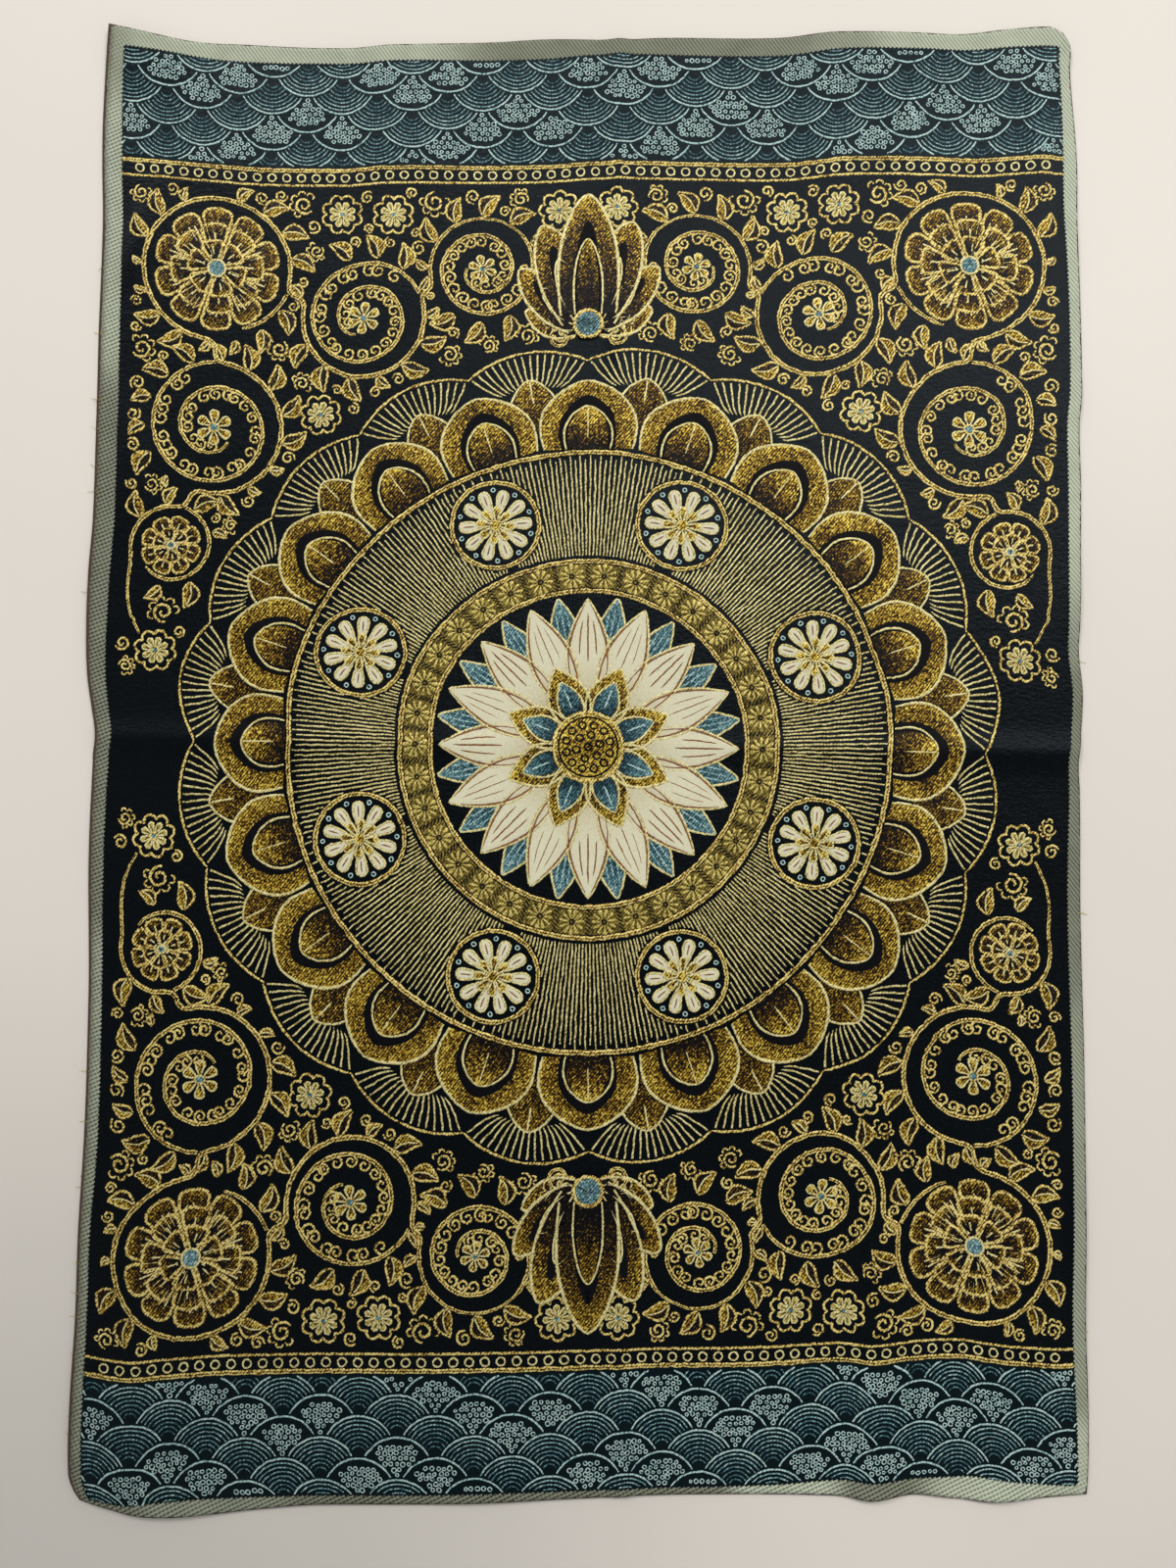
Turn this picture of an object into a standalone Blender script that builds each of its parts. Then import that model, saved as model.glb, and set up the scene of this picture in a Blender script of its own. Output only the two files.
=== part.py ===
"""A woven brocade wall panel, lying flat on its back: one sheet of cloth, about 60 x 90 cm.

The cloth is one piece: its pale margin is woven in, and its hot-cut sides wander by a few
millimetres. It was stored folded in four, so a crosswise and a fainter lengthwise crease
still stand up as low ridges, and a few soft swells lift its margin and corners.

Frame: metres, +Z up. The origin is the middle of the cloth at the surface that it lies on,
+X runs to the right along its short side and +Y towards its top edge.
"""

import bisect
import math
from collections import namedtuple

import bmesh
import bpy

MM = 0.001

# Driving sizes, in millimetres.
WIDTH = 604.0
LENGTH = 892.0
THICKNESS = 1.0
PLAIN_CELL = 25.0  # spacing of the grid lines where the cloth is plain

# How far each side strays outwards from the plain rectangle.
# Columns: place along the side, how far outwards there.
TOP_SIDE = [
    (-302, 6.0), (-273, 0.2), (-248, -3.9), (-215, -5.4), (-152, -8.4), (-123, -5.4),
    (-61, -3.8), (-26, -1.8), (21, -2.2), (44, -1.2), (122, -0.8), (158, 3.2),
    (209, 2.3), (238, 1.4), (270, 5.1), (294, 5.4), (302, 0.8),
]
BOTTOM_SIDE = [
    (-302, -1.0), (-294, 1.6), (-286, 3.6), (-268, 8.0), (-246, 8.9), (-225, 7.6),
    (-195, 4.6), (-163, 2.1), (-91, 1.9), (-41, 0.2), (24, -2.9), (58, -3.8),
    (153, -3.2), (172, -0.7), (199, -4.0), (225, -1.5), (247, 0.0), (302, -4.0),
]
LEFT_SIDE = [
    (-446, -2.4), (-440, 2.0), (-431, 4.9), (-390, 4.8), (-344, 2.9), (-291, 2.0),
    (-229, -0.5), (-151, -1.3), (-76, 0.0), (-10, -1.2), (2, -2.9), (18, 0.0),
    (40, 3.2), (70, 4.0), (104, 3.6), (136, 1.8), (186, 1.1), (246, 0.7),
    (320, -0.5), (360, 0.6), (400, 0.2), (446, -3.2),
]
RIGHT_SIDE = [
    (-446, -7.8), (-433, -6.7), (-400, -5.8), (-342, -6.4), (-277, -5.1), (-198, -4.1),
    (-108, -4.6), (-22, -3.6), (-3, -4.2), (8, -2.6), (37, -0.5), (62, -2.6),
    (78, -1.6), (160, 0.9), (201, 0.6), (220, 2.6), (272, 2.9), (326, 1.8),
    (365, 2.6), (423, -0.8), (438, -0.8), (446, -5.2),
]

# The crosswise crease. Columns: place along it, from left to right; height there.
CROSS_CREASE = [(-302, 3.4), (-200, 2.6), (0, 2.0), (180, 2.2), (302, 3.0)]
CROSS_CREASE_HALF_WIDTH = 15.0
CROSS_CREASE_LEAN = 4.8  # its left end is this much nearer the top, its right end further
CROSS_CREASE_ABOVE_MIDDLE = 1.4

# The fainter lengthwise crease. Columns: place along it, from bottom to top; height there.
LONG_CREASE = [(-446, 1.2), (-250, 0.8), (0, 0.6), (240, 1.2), (446, 1.8)]
LONG_CREASE_HALF_WIDTH = 11.0
LONG_CREASE_X = 20.0

# Soft swells where the cloth stands off the surface, mostly along its margin.
# Each is an ellipse round (x, y) whose long axis is turned by some degrees from +X.
Swell = namedtuple("Swell", "x y degrees half_length half_width height")
SWELLS = [
    Swell(-312, 462, -35, 95, 60, 4.2),  # top left corner
    Swell(-150, 452, 0, 55, 22, 1.6),
    Swell(60, 458, 0, 60, 20, 1.4),
    Swell(210, 458, 0, 55, 20, 1.8),
    Swell(312, 452, 40, 45, 32, 2.6),  # top right corner
    Swell(312, 318, 90, 60, 20, 1.8),
    Swell(308, 215, 90, 30, 16, 1.2),
    Swell(306, 95, 90, 38, 18, 1.6),
    Swell(-314, 80, 90, 75, 26, 2.8),  # left margin above the crease
    Swell(-310, -70, 90, 60, 16, 1.4),
    Swell(-318, -395, 90, 80, 24, 3.2),
    Swell(-262, -456, 0, 70, 26, 3.4),  # beside the bottom left corner
    Swell(-60, -450, 0, 50, 16, 1.4),
    Swell(172, -450, 0, 24, 22, 2.4),  # three ruffles in the bottom margin
    Swell(212, -452, 0, 20, 18, 1.4),
    Swell(250, -450, 0, 30, 24, 2.6),
    Swell(302, -300, 90, 70, 16, 1.5),
    Swell(-276, 322, 72, 60, 13, 1.6),  # long wrinkles beside the margin
    Swell(-280, 178, 90, 62, 14, 1.5),
    Swell(282, 375, 84, 70, 14, 1.5),
    Swell(205, 402, 70, 40, 12, 1.2),
]


def clear_scene():
    for old in list(bpy.data.objects):
        bpy.data.objects.remove(old)


def along(table, place):
    """The value of a two-column table at a place, on a smooth curve through its rows."""
    places = [row[0] for row in table]
    values = [row[1] for row in table]
    place = min(max(place, places[0]), places[-1])
    end = min(max(bisect.bisect_right(places, place), 1), len(places) - 1)
    start = end - 1

    def slope(row):
        before, after = max(row - 1, 0), min(row + 1, len(places) - 1)
        return (values[after] - values[before]) / (places[after] - places[before])

    span = places[end] - places[start]
    t = (place - places[start]) / span
    keep = 2 * t**3 - 3 * t**2 + 1
    leave = (t**3 - 2 * t**2 + t) * span
    arrive = (t**3 - t**2) * span
    return (
        keep * values[start]
        + (1 - keep) * values[end]
        + leave * slope(start)
        + arrive * slope(end)
    )


def grid_lines(half, extra):
    """Places of the grid lines from -half to half: an even spacing, plus the extra ones."""
    cells = round(2 * half / PLAIN_CELL)
    even = [-half + 2 * half * n / cells for n in range(cells + 1)]
    closest = PLAIN_CELL / 4
    kept = [line for line in even if all(abs(line - other) > closest for other in extra)]
    return sorted(kept + extra)


def crease_lines(middle, half_width):
    """The grid lines that a crease needs to have its form."""
    shares = [0.27, 0.6, 1.0]
    return [middle] + [middle + side * share * half_width for share in shares for side in (-1, 1)]


def margin_lines(half):
    """The outline, and two lines close inside it that give the corners their form."""
    return [side * (half - inset) for inset in (0.0, 8.0, 17.0) for side in (-1, 1)]


def ridge(distance, half_width):
    """The profile of a crease: 1 on its line, 0 from its half width on, with hollow sides."""
    return max(0.0, 1 - abs(distance) / half_width) ** 1.7


def swell_height(x, y):
    """How far the soft swells lift the cloth there."""
    height = 0.0
    for swell in SWELLS:
        turn = math.radians(swell.degrees)
        over, up = x - swell.x, y - swell.y
        lengthwise = (over * math.cos(turn) + up * math.sin(turn)) / swell.half_length
        crosswise = (up * math.cos(turn) - over * math.sin(turn)) / swell.half_width
        reach = math.hypot(lengthwise, crosswise)
        if reach < 1:
            height = max(height, swell.height * (1 + math.cos(math.pi * reach)) / 2)
    return height


def underside_height(x, y):
    """Height of the cloth's underside above the surface, 0 where it lies on it."""
    crosswise = along(CROSS_CREASE, x) * ridge(y - CROSS_CREASE_ABOVE_MIDDLE, CROSS_CREASE_HALF_WIDTH)
    lengthwise = along(LONG_CREASE, y) * ridge(x - LONG_CREASE_X, LONG_CREASE_HALF_WIDTH)
    return max(crosswise, lengthwise, swell_height(x, y))


def place_of(x, y):
    """Where a point of the plain rectangle lies on the real cloth, in millimetres."""
    across, up = x / (WIDTH / 2), y / (LENGTH / 2)
    side = along(RIGHT_SIDE, y) if across > 0 else -along(LEFT_SIDE, y)
    end = along(TOP_SIDE, x) if up > 0 else -along(BOTTOM_SIDE, x)
    lean = -CROSS_CREASE_LEAN * across * (1 - abs(up))
    return x + side * abs(across), y + end * abs(up) + lean, underside_height(x, y)


def centre_on_origin(cloth):
    """Slides the cloth until its outline's middle is over the origin."""
    across = [vertex.co.x for vertex in cloth.verts]
    along_it = [vertex.co.y for vertex in cloth.verts]
    middle_x = (min(across) + max(across)) / 2
    middle_y = (min(along_it) + max(along_it)) / 2
    bmesh.ops.translate(cloth, verts=cloth.verts, vec=(-middle_x, -middle_y, 0.0))


def make_cloth():
    """The sheet: a grid laid on the underside, thickened upwards by a Solidify modifier."""
    half_width, half_length = WIDTH / 2, LENGTH / 2
    columns = grid_lines(
        half_width, margin_lines(half_width) + crease_lines(LONG_CREASE_X, LONG_CREASE_HALF_WIDTH)
    )
    rows = grid_lines(
        half_length,
        margin_lines(half_length) + crease_lines(CROSS_CREASE_ABOVE_MIDDLE, CROSS_CREASE_HALF_WIDTH),
    )
    cloth = bmesh.new()
    bmesh.ops.create_grid(
        cloth, x_segments=len(columns) - 1, y_segments=len(rows) - 1, size=0.5
    )
    for vertex in cloth.verts:
        column = columns[round((vertex.co.x + 0.5) * (len(columns) - 1))]
        row = rows[round((vertex.co.y + 0.5) * (len(rows) - 1))]
        vertex.co = [value * MM for value in place_of(column, row)]
    centre_on_origin(cloth)
    mesh = bpy.data.meshes.new("brocade_panel")
    cloth.to_mesh(mesh)
    cloth.free()
    mesh.shade_smooth()
    panel = bpy.data.objects.new("brocade_panel", mesh)
    solidify = panel.modifiers.new("cloth thickness", "SOLIDIFY")
    solidify.thickness = THICKNESS * MM
    solidify.offset = 1.0
    return panel


def brocade_material():
    """Near-black satin ground with a dull sheen."""
    material = bpy.data.materials.new("black satin brocade")
    material.use_nodes = True
    shader = material.node_tree.nodes["Principled BSDF"]
    shader.inputs["Base Color"].default_value = (0.012, 0.014, 0.022, 1.0)
    shader.inputs["Roughness"].default_value = 0.6
    shader.inputs["Metallic"].default_value = 0.0
    return material


def main():
    clear_scene()
    collection = bpy.data.collections.new("brocade wall panel")
    bpy.context.scene.collection.children.link(collection)
    panel = make_cloth()
    panel.data.materials.append(brocade_material())
    collection.objects.link(panel)


main()
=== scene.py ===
# A woven brocade panel lying face up on a pale floor.
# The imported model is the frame; everything here is the look of the cloth.
# Sizes in the dictionaries are millimetres on the cloth, and mm turns them into metres.
import math

import bmesh
import bpy
import numpy as np
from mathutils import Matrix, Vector


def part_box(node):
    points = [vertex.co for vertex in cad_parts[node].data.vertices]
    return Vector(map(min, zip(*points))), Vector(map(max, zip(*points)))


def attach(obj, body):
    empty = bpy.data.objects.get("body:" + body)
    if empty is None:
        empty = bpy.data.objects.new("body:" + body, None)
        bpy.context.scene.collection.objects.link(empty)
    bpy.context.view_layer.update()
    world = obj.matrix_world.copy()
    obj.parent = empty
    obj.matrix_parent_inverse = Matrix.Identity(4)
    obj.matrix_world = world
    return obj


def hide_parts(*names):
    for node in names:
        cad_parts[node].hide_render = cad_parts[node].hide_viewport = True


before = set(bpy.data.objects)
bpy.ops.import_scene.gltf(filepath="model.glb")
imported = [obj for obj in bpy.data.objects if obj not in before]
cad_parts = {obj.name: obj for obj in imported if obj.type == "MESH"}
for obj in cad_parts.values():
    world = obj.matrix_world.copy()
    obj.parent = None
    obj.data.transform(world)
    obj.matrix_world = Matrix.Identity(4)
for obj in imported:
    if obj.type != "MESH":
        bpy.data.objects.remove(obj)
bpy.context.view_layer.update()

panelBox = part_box("brocade_panel")
mm = 0.001
scene = bpy.context.scene
chance = np.random.default_rng(41)  # every random draw comes from here, in this order

cloth = {
    "halfWidth": 302.0,
    "halfLength": 446.0,
    "thickness": 0.8,
    "plainCell": 5.0,  # grid spacing in the open field
    "fineCell": 2.4,  # and near the sides and creases
    "fineReach": 20.0,
    "fieldHalfWidth": 292.0,  # the woven pattern is drawn on a field of this half size
    "fieldHalfLength": 437.0,
    "outlinePoints": 801,  # looked at along each side to find the outline's middle
    "flatSize": (0.604, 0.892),
}
# The solid's own sides: place along a side, how far it strays outwards there.
topSide = [
    (-302, 6.0), (-273, 0.2), (-248, -3.9), (-215, -5.4), (-152, -8.4), (-123, -5.4),
    (-61, -3.8), (-26, -1.8), (21, -2.2), (44, -1.2), (122, -0.8), (158, 3.2),
    (209, 2.3), (238, 1.4), (270, 5.1), (294, 5.4), (302, 0.8),
]
bottomSide = [
    (-302, -1.0), (-294, 1.6), (-286, 3.6), (-268, 8.0), (-246, 8.9), (-225, 7.6),
    (-195, 4.6), (-163, 2.1), (-91, 1.9), (-41, 0.2), (24, -2.9), (58, -3.8),
    (153, -3.2), (172, -0.7), (199, -4.0), (225, -1.5), (247, 0.0), (302, -4.0),
]
leftSide = [
    (-446, -2.4), (-440, 2.0), (-431, 4.9), (-390, 4.8), (-344, 2.9), (-291, 2.0),
    (-229, -0.5), (-151, -1.3), (-76, 0.0), (-10, -1.2), (2, -2.9), (18, 0.0),
    (40, 3.2), (70, 4.0), (104, 3.6), (136, 1.8), (186, 1.1), (246, 0.7),
    (320, -0.5), (360, 0.6), (400, 0.2), (446, -3.2),
]
rightSide = [
    (-446, -7.8), (-433, -6.7), (-400, -5.8), (-342, -6.4), (-277, -5.1), (-198, -4.1),
    (-108, -4.6), (-22, -3.6), (-3, -4.2), (8, -2.6), (37, -0.5), (62, -2.6),
    (78, -1.6), (160, 0.9), (201, 0.6), (220, 2.6), (272, 2.9), (326, 1.8),
    (365, 2.6), (423, -0.8), (438, -0.8), (446, -5.2),
]
# Width of the pale margin along each side.
leftMargin = [
    (-446, 7.5), (-400, 7.0), (-292, 6.8), (-246, 8.0), (-150, 7.9), (-76, 8.6), (0, 9.6),
    (30, 10.4), (100, 12.4), (175, 13.2), (300, 12.4), (378, 12.0), (446, 10.0),
]
rightMargin = [
    (-446, 5.6), (-371, 7.7), (-288, 7.1), (-79, 7.6), (-3, 5.9), (62, 6.2), (160, 7.5),
    (219, 6.9), (302, 6.8), (361, 8.4), (410, 6.6), (446, 6.8),
]
topMargin = [
    (-302, 12.0), (-260, 9.2), (-215, 11.3), (-156, 9.5), (-62, 11.7), (-26, 12.6), (0, 10.0),
    (21, 9.2), (56, 10.8), (122, 11.4), (182, 10.0), (228, 9.8), (302, 12.3),
]
bottomMargin = [
    (-302, 2.6), (-290, 2.8), (-272, 4.4), (-257, 7.0), (-230, 8.3), (-202, 7.0), (-168, 5.3),
    (-64, 4.8), (57, 4.0), (113, 5.3), (153, 9.0), (201, 9.3), (233, 13.3), (264, 9.3),
    (289, 5.8), (302, 5.0),
]
# The folds that still stand up: place along a fold, its height there. The crosswise one is
# lower than on the solid, because it looks softer in the light.
creases = {
    "crossHeights": [(-302, 2.2), (-200, 1.6), (0, 1.3), (180, 1.3), (302, 2.0)],
    "crossHalfWidth": 15.0,
    "crossLean": 4.8,  # its left end is this much nearer the top, its right end further
    "crossAboveMiddle": 1.4,
    "longHeights": [(-446, 1.2), (-250, 0.8), (0, 0.6), (240, 1.2), (446, 1.8)],
    "longHalfWidth": 11.0,
    "longX": 20.0,
    "roundTop": 1.8,
    "hollowSides": 1.7,
}
# Soft swells: x, y, turn in degrees, half length, half width, height.
swells = [
    (-312, 462, -35, 95, 60, 4.2), (-150, 452, 0, 55, 22, 1.6), (60, 458, 0, 60, 20, 1.4),
    (210, 458, 0, 55, 20, 1.8), (312, 452, 40, 45, 32, 2.6), (312, 318, 90, 60, 20, 1.8),
    (308, 215, 90, 30, 16, 1.2), (306, 95, 90, 38, 18, 1.6), (-314, 80, 90, 75, 26, 2.8),
    (-310, -70, 90, 60, 16, 1.4), (-318, -395, 90, 80, 24, 3.2), (-262, -456, 0, 70, 26, 3.4),
    (-60, -450, 0, 50, 16, 1.4), (172, -450, 0, 24, 22, 2.4), (212, -452, 0, 20, 18, 1.4),
    (250, -450, 0, 30, 24, 2.6), (302, -300, 90, 70, 16, 1.5), (-276, 322, 72, 60, 13, 1.6),
    (-280, 178, 90, 62, 14, 1.5), (282, 375, 84, 70, 14, 1.5), (205, 402, 70, 40, 12, 1.2),
]
# Faint waviness over the whole cloth: wavelength, direction in degrees, phase, height.
waviness = [(148, 18, 0.4, 0.30), (96, -58, 2.1, 0.20), (61, 84, 4.0, 0.10)]


def along(table, place):
    # the value of a two-column table at each place, on a smooth curve through its rows
    places, values = np.array(table, dtype=float).T
    rows = np.arange(len(places))
    after = np.minimum(rows + 1, len(places) - 1)
    before = np.maximum(rows - 1, 0)
    slopes = (values[after] - values[before]) / (places[after] - places[before])
    place = np.clip(place, places[0], places[-1])
    start = np.clip(np.searchsorted(places, place, side="right") - 1, 0, len(places) - 2)
    span = places[start + 1] - places[start]
    t = (place - places[start]) / span
    keep = 2 * t**3 - 3 * t**2 + 1
    leave = (t**3 - 2 * t**2 + t) * span
    arrive = (t**3 - t**2) * span
    return keep * values[start] + (1 - keep) * values[start + 1] \
        + leave * slopes[start] + arrive * slopes[start + 1]


def ridge(distance, halfWidth):
    # 1 on the crease's line, 0 from its half width on, with hollow sides and a rounded top
    reach = np.hypot(distance, creases["roundTop"]) - creases["roundTop"]
    return np.maximum(0.0, 1 - reach / halfWidth) ** creases["hollowSides"]


def turned(x, y, degrees):
    # the place measured along a line at that angle, and across it
    turn = math.radians(degrees)
    return x * math.cos(turn) + y * math.sin(turn), y * math.cos(turn) - x * math.sin(turn)


def restHeight(x, y):
    # how far the cloth's underside stands above the floor
    cross = along(creases["crossHeights"], x) \
        * ridge(y - creases["crossAboveMiddle"], creases["crossHalfWidth"])
    lengthwise = along(creases["longHeights"], y) \
        * ridge(x - creases["longX"], creases["longHalfWidth"])
    height = np.maximum(cross, lengthwise)
    for swellX, swellY, degrees, halfLength, halfWidth, top in swells:
        over, up = turned(x - swellX, y - swellY, degrees)
        reach = np.minimum(np.hypot(over / halfLength, up / halfWidth), 1)
        height = np.maximum(height, top * (1 + np.cos(np.pi * reach)) / 2)
    for wavelength, degrees, phase, top in waviness:
        way = turned(x, y, degrees)[0] / wavelength
        height = height + top * (1 + np.sin(2 * np.pi * way + phase)) / 2
    return height


def plainPlace(x, y):
    # where a point of the plain rectangle lies on the wavering cloth
    across, up = x / cloth["halfWidth"], y / cloth["halfLength"]
    side = np.where(across > 0, along(rightSide, y), -along(leftSide, y))
    end = np.where(up > 0, along(topSide, x), -along(bottomSide, x))
    lean = -creases["crossLean"] * across * (1 - np.minimum(np.abs(up), 1))
    return x + side * np.abs(across), y + end * np.abs(up) + lean


def outlineShift():
    # slides the outline's middle over the middle of the solid
    turn = np.linspace(-1, 1, cloth["outlinePoints"])
    one = np.ones_like(turn)
    x = cloth["halfWidth"] * np.concatenate([turn, turn, one, -one])
    y = cloth["halfLength"] * np.concatenate([one, -one, turn, turn])
    low, high = panelBox
    return [(low[axis] + high[axis]) / 2 / mm - (places.min() + places.max()) / 2
            for axis, places in enumerate(plainPlace(x, y))]


shiftX, shiftY = outlineShift()


def clothPlace(x, y):
    px, py = plainPlace(x, y)
    return px + shiftX, py + shiftY, restHeight(x, y)


def marginWidths(x, y):
    side = np.where(x > 0, along(rightMargin, y), along(leftMargin, y))
    end = np.where(y > 0, along(topMargin, x), along(bottomMargin, x))
    return side, end


def wovenPlace(u, v):
    # where a point of the woven pattern lies: the pattern ends at the margin's inner edge
    s, t = u / cloth["fieldHalfWidth"], v / cloth["fieldHalfLength"]
    side, end = marginWidths(s * cloth["halfWidth"], t * cloth["halfLength"])
    return clothPlace(s * (cloth["halfWidth"] - side), t * (cloth["halfLength"] - end))


# Nodes that the materials are made of.

def feed(tree, socket, value):
    # gives a socket another node's output, a colour or a number
    if isinstance(value, bpy.types.NodeSocket):
        tree.links.new(value, socket)
    else:
        socket.default_value = (*value, 1.0) if socket.type == "RGBA" else value


def calculate(tree, operation, *values, clamp=False):
    made = tree.nodes.new("ShaderNodeMath")
    made.operation = operation
    made.use_clamp = clamp
    for socket, value in zip(made.inputs, values):
        feed(tree, socket, value)
    return made.outputs[0]


def weighted(tree, *terms, plus=0.0, clamp=False):
    # the sum of values, each times its weight, on top of a first one
    total = plus
    for n, (value, weight) in enumerate(terms, 1):
        total = calculate(tree, "MULTIPLY_ADD", value, weight, total,
                          clamp=clamp and n == len(terms))
    return total


def ramp(tree, value, stops):
    made = tree.nodes.new("ShaderNodeValToRGB")
    elements = made.color_ramp.elements
    while len(elements) < len(stops):
        elements.new(0.5)
    for element, (place, colour) in zip(elements, stops):
        element.position = place
        element.color = (*colour, 1.0)
    feed(tree, made.inputs[0], value)
    return made.outputs[0]


def smoothStep(tree, value, low, high, fromLow=0.0, fromHigh=1.0):
    made = tree.nodes.new("ShaderNodeMapRange")
    made.interpolation_type = "SMOOTHSTEP"
    for socket, given in zip(made.inputs, (value, low, high, fromLow, fromHigh)):
        feed(tree, socket, given)
    return made.outputs[0]


def mixColours(tree, factor, first, second):
    made = tree.nodes.new("ShaderNodeMix")
    made.data_type = "RGBA"
    for socket, value in ((0, factor), (6, first), (7, second)):
        feed(tree, made.inputs[socket], value)
    return made.outputs[2]


def attribute(tree, name):
    made = tree.nodes.new("ShaderNodeAttribute")
    made.attribute_name = name
    return made.outputs["Fac"]


def texture(tree, kind, degrees, stretch, numbers):
    # a texture on Object coordinates, turned and then scaled
    place = tree.nodes.new("ShaderNodeTexCoord").outputs["Object"]
    for name, value in (("Rotation", (0, 0, math.radians(degrees))), ("Scale", stretch)):
        mapping = tree.nodes.new("ShaderNodeMapping")
        mapping.inputs[name].default_value = value
        tree.links.new(place, mapping.inputs["Vector"])
        place = mapping.outputs[0]
    made = tree.nodes.new(kind)
    for name, value in numbers.items():
        made.inputs[name].default_value = value
    tree.links.new(place, made.inputs["Vector"])
    return made.outputs["Fac"]


def noise(tree, scale, detail=2.0, roughness=0.5, degrees=0.0, stretch=(1.0, 1.0, 1.0)):
    return texture(tree, "ShaderNodeTexNoise", degrees, stretch,
                   {"Scale": scale, "Detail": detail, "Roughness": roughness})


def bands(tree, degrees, pitch, waver=0.0):
    # bands across a line at that angle, one each pitch, as a 0 to 1 wave
    return texture(tree, "ShaderNodeTexWave", degrees, (1.0, 1.0, 1.0), {
        "Scale": math.pi / 10 / (pitch * mm), "Distortion": waver,
        "Detail": 1.0, "Detail Scale": 1.5,
    })


def newGroup(name, inputs, outputs):
    group = bpy.data.node_groups.new(name, "ShaderNodeTree")
    for way, sockets in (("INPUT", inputs), ("OUTPUT", outputs)):
        for socket in sockets:
            group.interface.new_socket(name=socket, in_out=way, socket_type="NodeSocketFloat")
    return group, group.nodes.new("NodeGroupOutput")


# A yarn's floats: streaks and specks in them, the twill line they lie on, broad patches.
floatGrain = {
    "streakLean": -52.0, "streaks": (420, 1300, 420), "specks": 760.0, "patches": 45.0,
    "twillLean": 38.0, "twillPitch": 1.55, "twillWaver": 0.6,
    "streakTone": 2.1, "speckTone": 2.1, "twillTone": 0.42, "patchTone": 0.5,
    "streakHeight": 0.8, "twillHeight": 0.6,
}


def floatGrainGroup():
    # how light each float is, and its height for a bump
    group, out = newGroup("yarnFloats", ("Shade", "Speckle"), ("Tone", "Height"))
    into = group.nodes.new("NodeGroupInput")
    streaks = noise(group, 1.0, 2.0, 0.6, floatGrain["streakLean"], floatGrain["streaks"])
    specks = noise(group, floatGrain["specks"], 1.0)
    patches = noise(group, floatGrain["patches"])
    twill = bands(group, floatGrain["twillLean"], floatGrain["twillPitch"],
                  floatGrain["twillWaver"])
    tones = [(streaks, floatGrain["streakTone"]), (specks, floatGrain["speckTone"]),
             (twill, floatGrain["twillTone"]), (patches, floatGrain["patchTone"])]
    middle = sum(weight for value, weight in tones) / 2
    shift = weighted(group, *tones, plus=-middle)
    tone = calculate(group, "MULTIPLY_ADD", shift, into.outputs["Speckle"],
                     into.outputs["Shade"], clamp=True)
    feed(group, out.inputs["Tone"], tone)
    feed(group, out.inputs["Height"], weighted(
        group, (twill, floatGrain["twillHeight"]), (streaks, floatGrain["streakHeight"])))
    return group


# The ground's fine threads: warp ribs with weft crossings, satin floats, a slow drift.
threadGrain = {
    "warpPitch": 0.42, "weftPitch": 0.7, "waver": 0.4,
    "satinLean": -24.0, "satinPitch": 1.3, "satinWaver": 1.6,
    "specks": (1150, 700, 700), "drift": 9.0,
    "weftHeight": 0.35, "speckHeight": 1.6, "satinHeight": 1.5,
}


def threadGrainGroup():
    group, out = newGroup("groundThreads", (), ("Height", "Speck", "Drift"))
    warp = bands(group, 0.0, threadGrain["warpPitch"], threadGrain["waver"])
    weft = bands(group, 90.0, threadGrain["weftPitch"], threadGrain["waver"])
    satin = bands(group, threadGrain["satinLean"], threadGrain["satinPitch"],
                  threadGrain["satinWaver"])
    specks = noise(group, 1.0, 2.0, 0.65, stretch=threadGrain["specks"])
    height = weighted(group, (weft, threadGrain["weftHeight"]),
                      (specks, threadGrain["speckHeight"]),
                      (satin, threadGrain["satinHeight"]), plus=warp)
    feed(group, out.inputs["Height"], height)
    feed(group, out.inputs["Speck"], specks)
    feed(group, out.inputs["Drift"], noise(group, threadGrain["drift"], 3.0))
    return group


yarnFloats = floatGrainGroup()
groundThreads = threadGrainGroup()


def placeGroup(tree, group, **values):
    made = tree.nodes.new("ShaderNodeGroup")
    made.node_tree = group
    for name, value in values.items():
        feed(tree, made.inputs[name], value)
    return made.outputs


def newMaterial(name, values):
    material = bpy.data.materials.new(name)
    material.use_nodes = True
    tree = material.node_tree
    shader = tree.nodes["Principled BSDF"]
    for socket, value in values.items():
        feed(tree, shader.inputs[socket], value)
    return material, tree, shader


def addBump(tree, shader, height, distance):
    bump = tree.nodes.new("ShaderNodeBump")
    feed(tree, bump.inputs["Strength"], 1.0)
    feed(tree, bump.inputs["Distance"], distance * mm)
    feed(tree, bump.inputs["Height"], height)
    feed(tree, shader.inputs["Normal"], bump.outputs[0])


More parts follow.
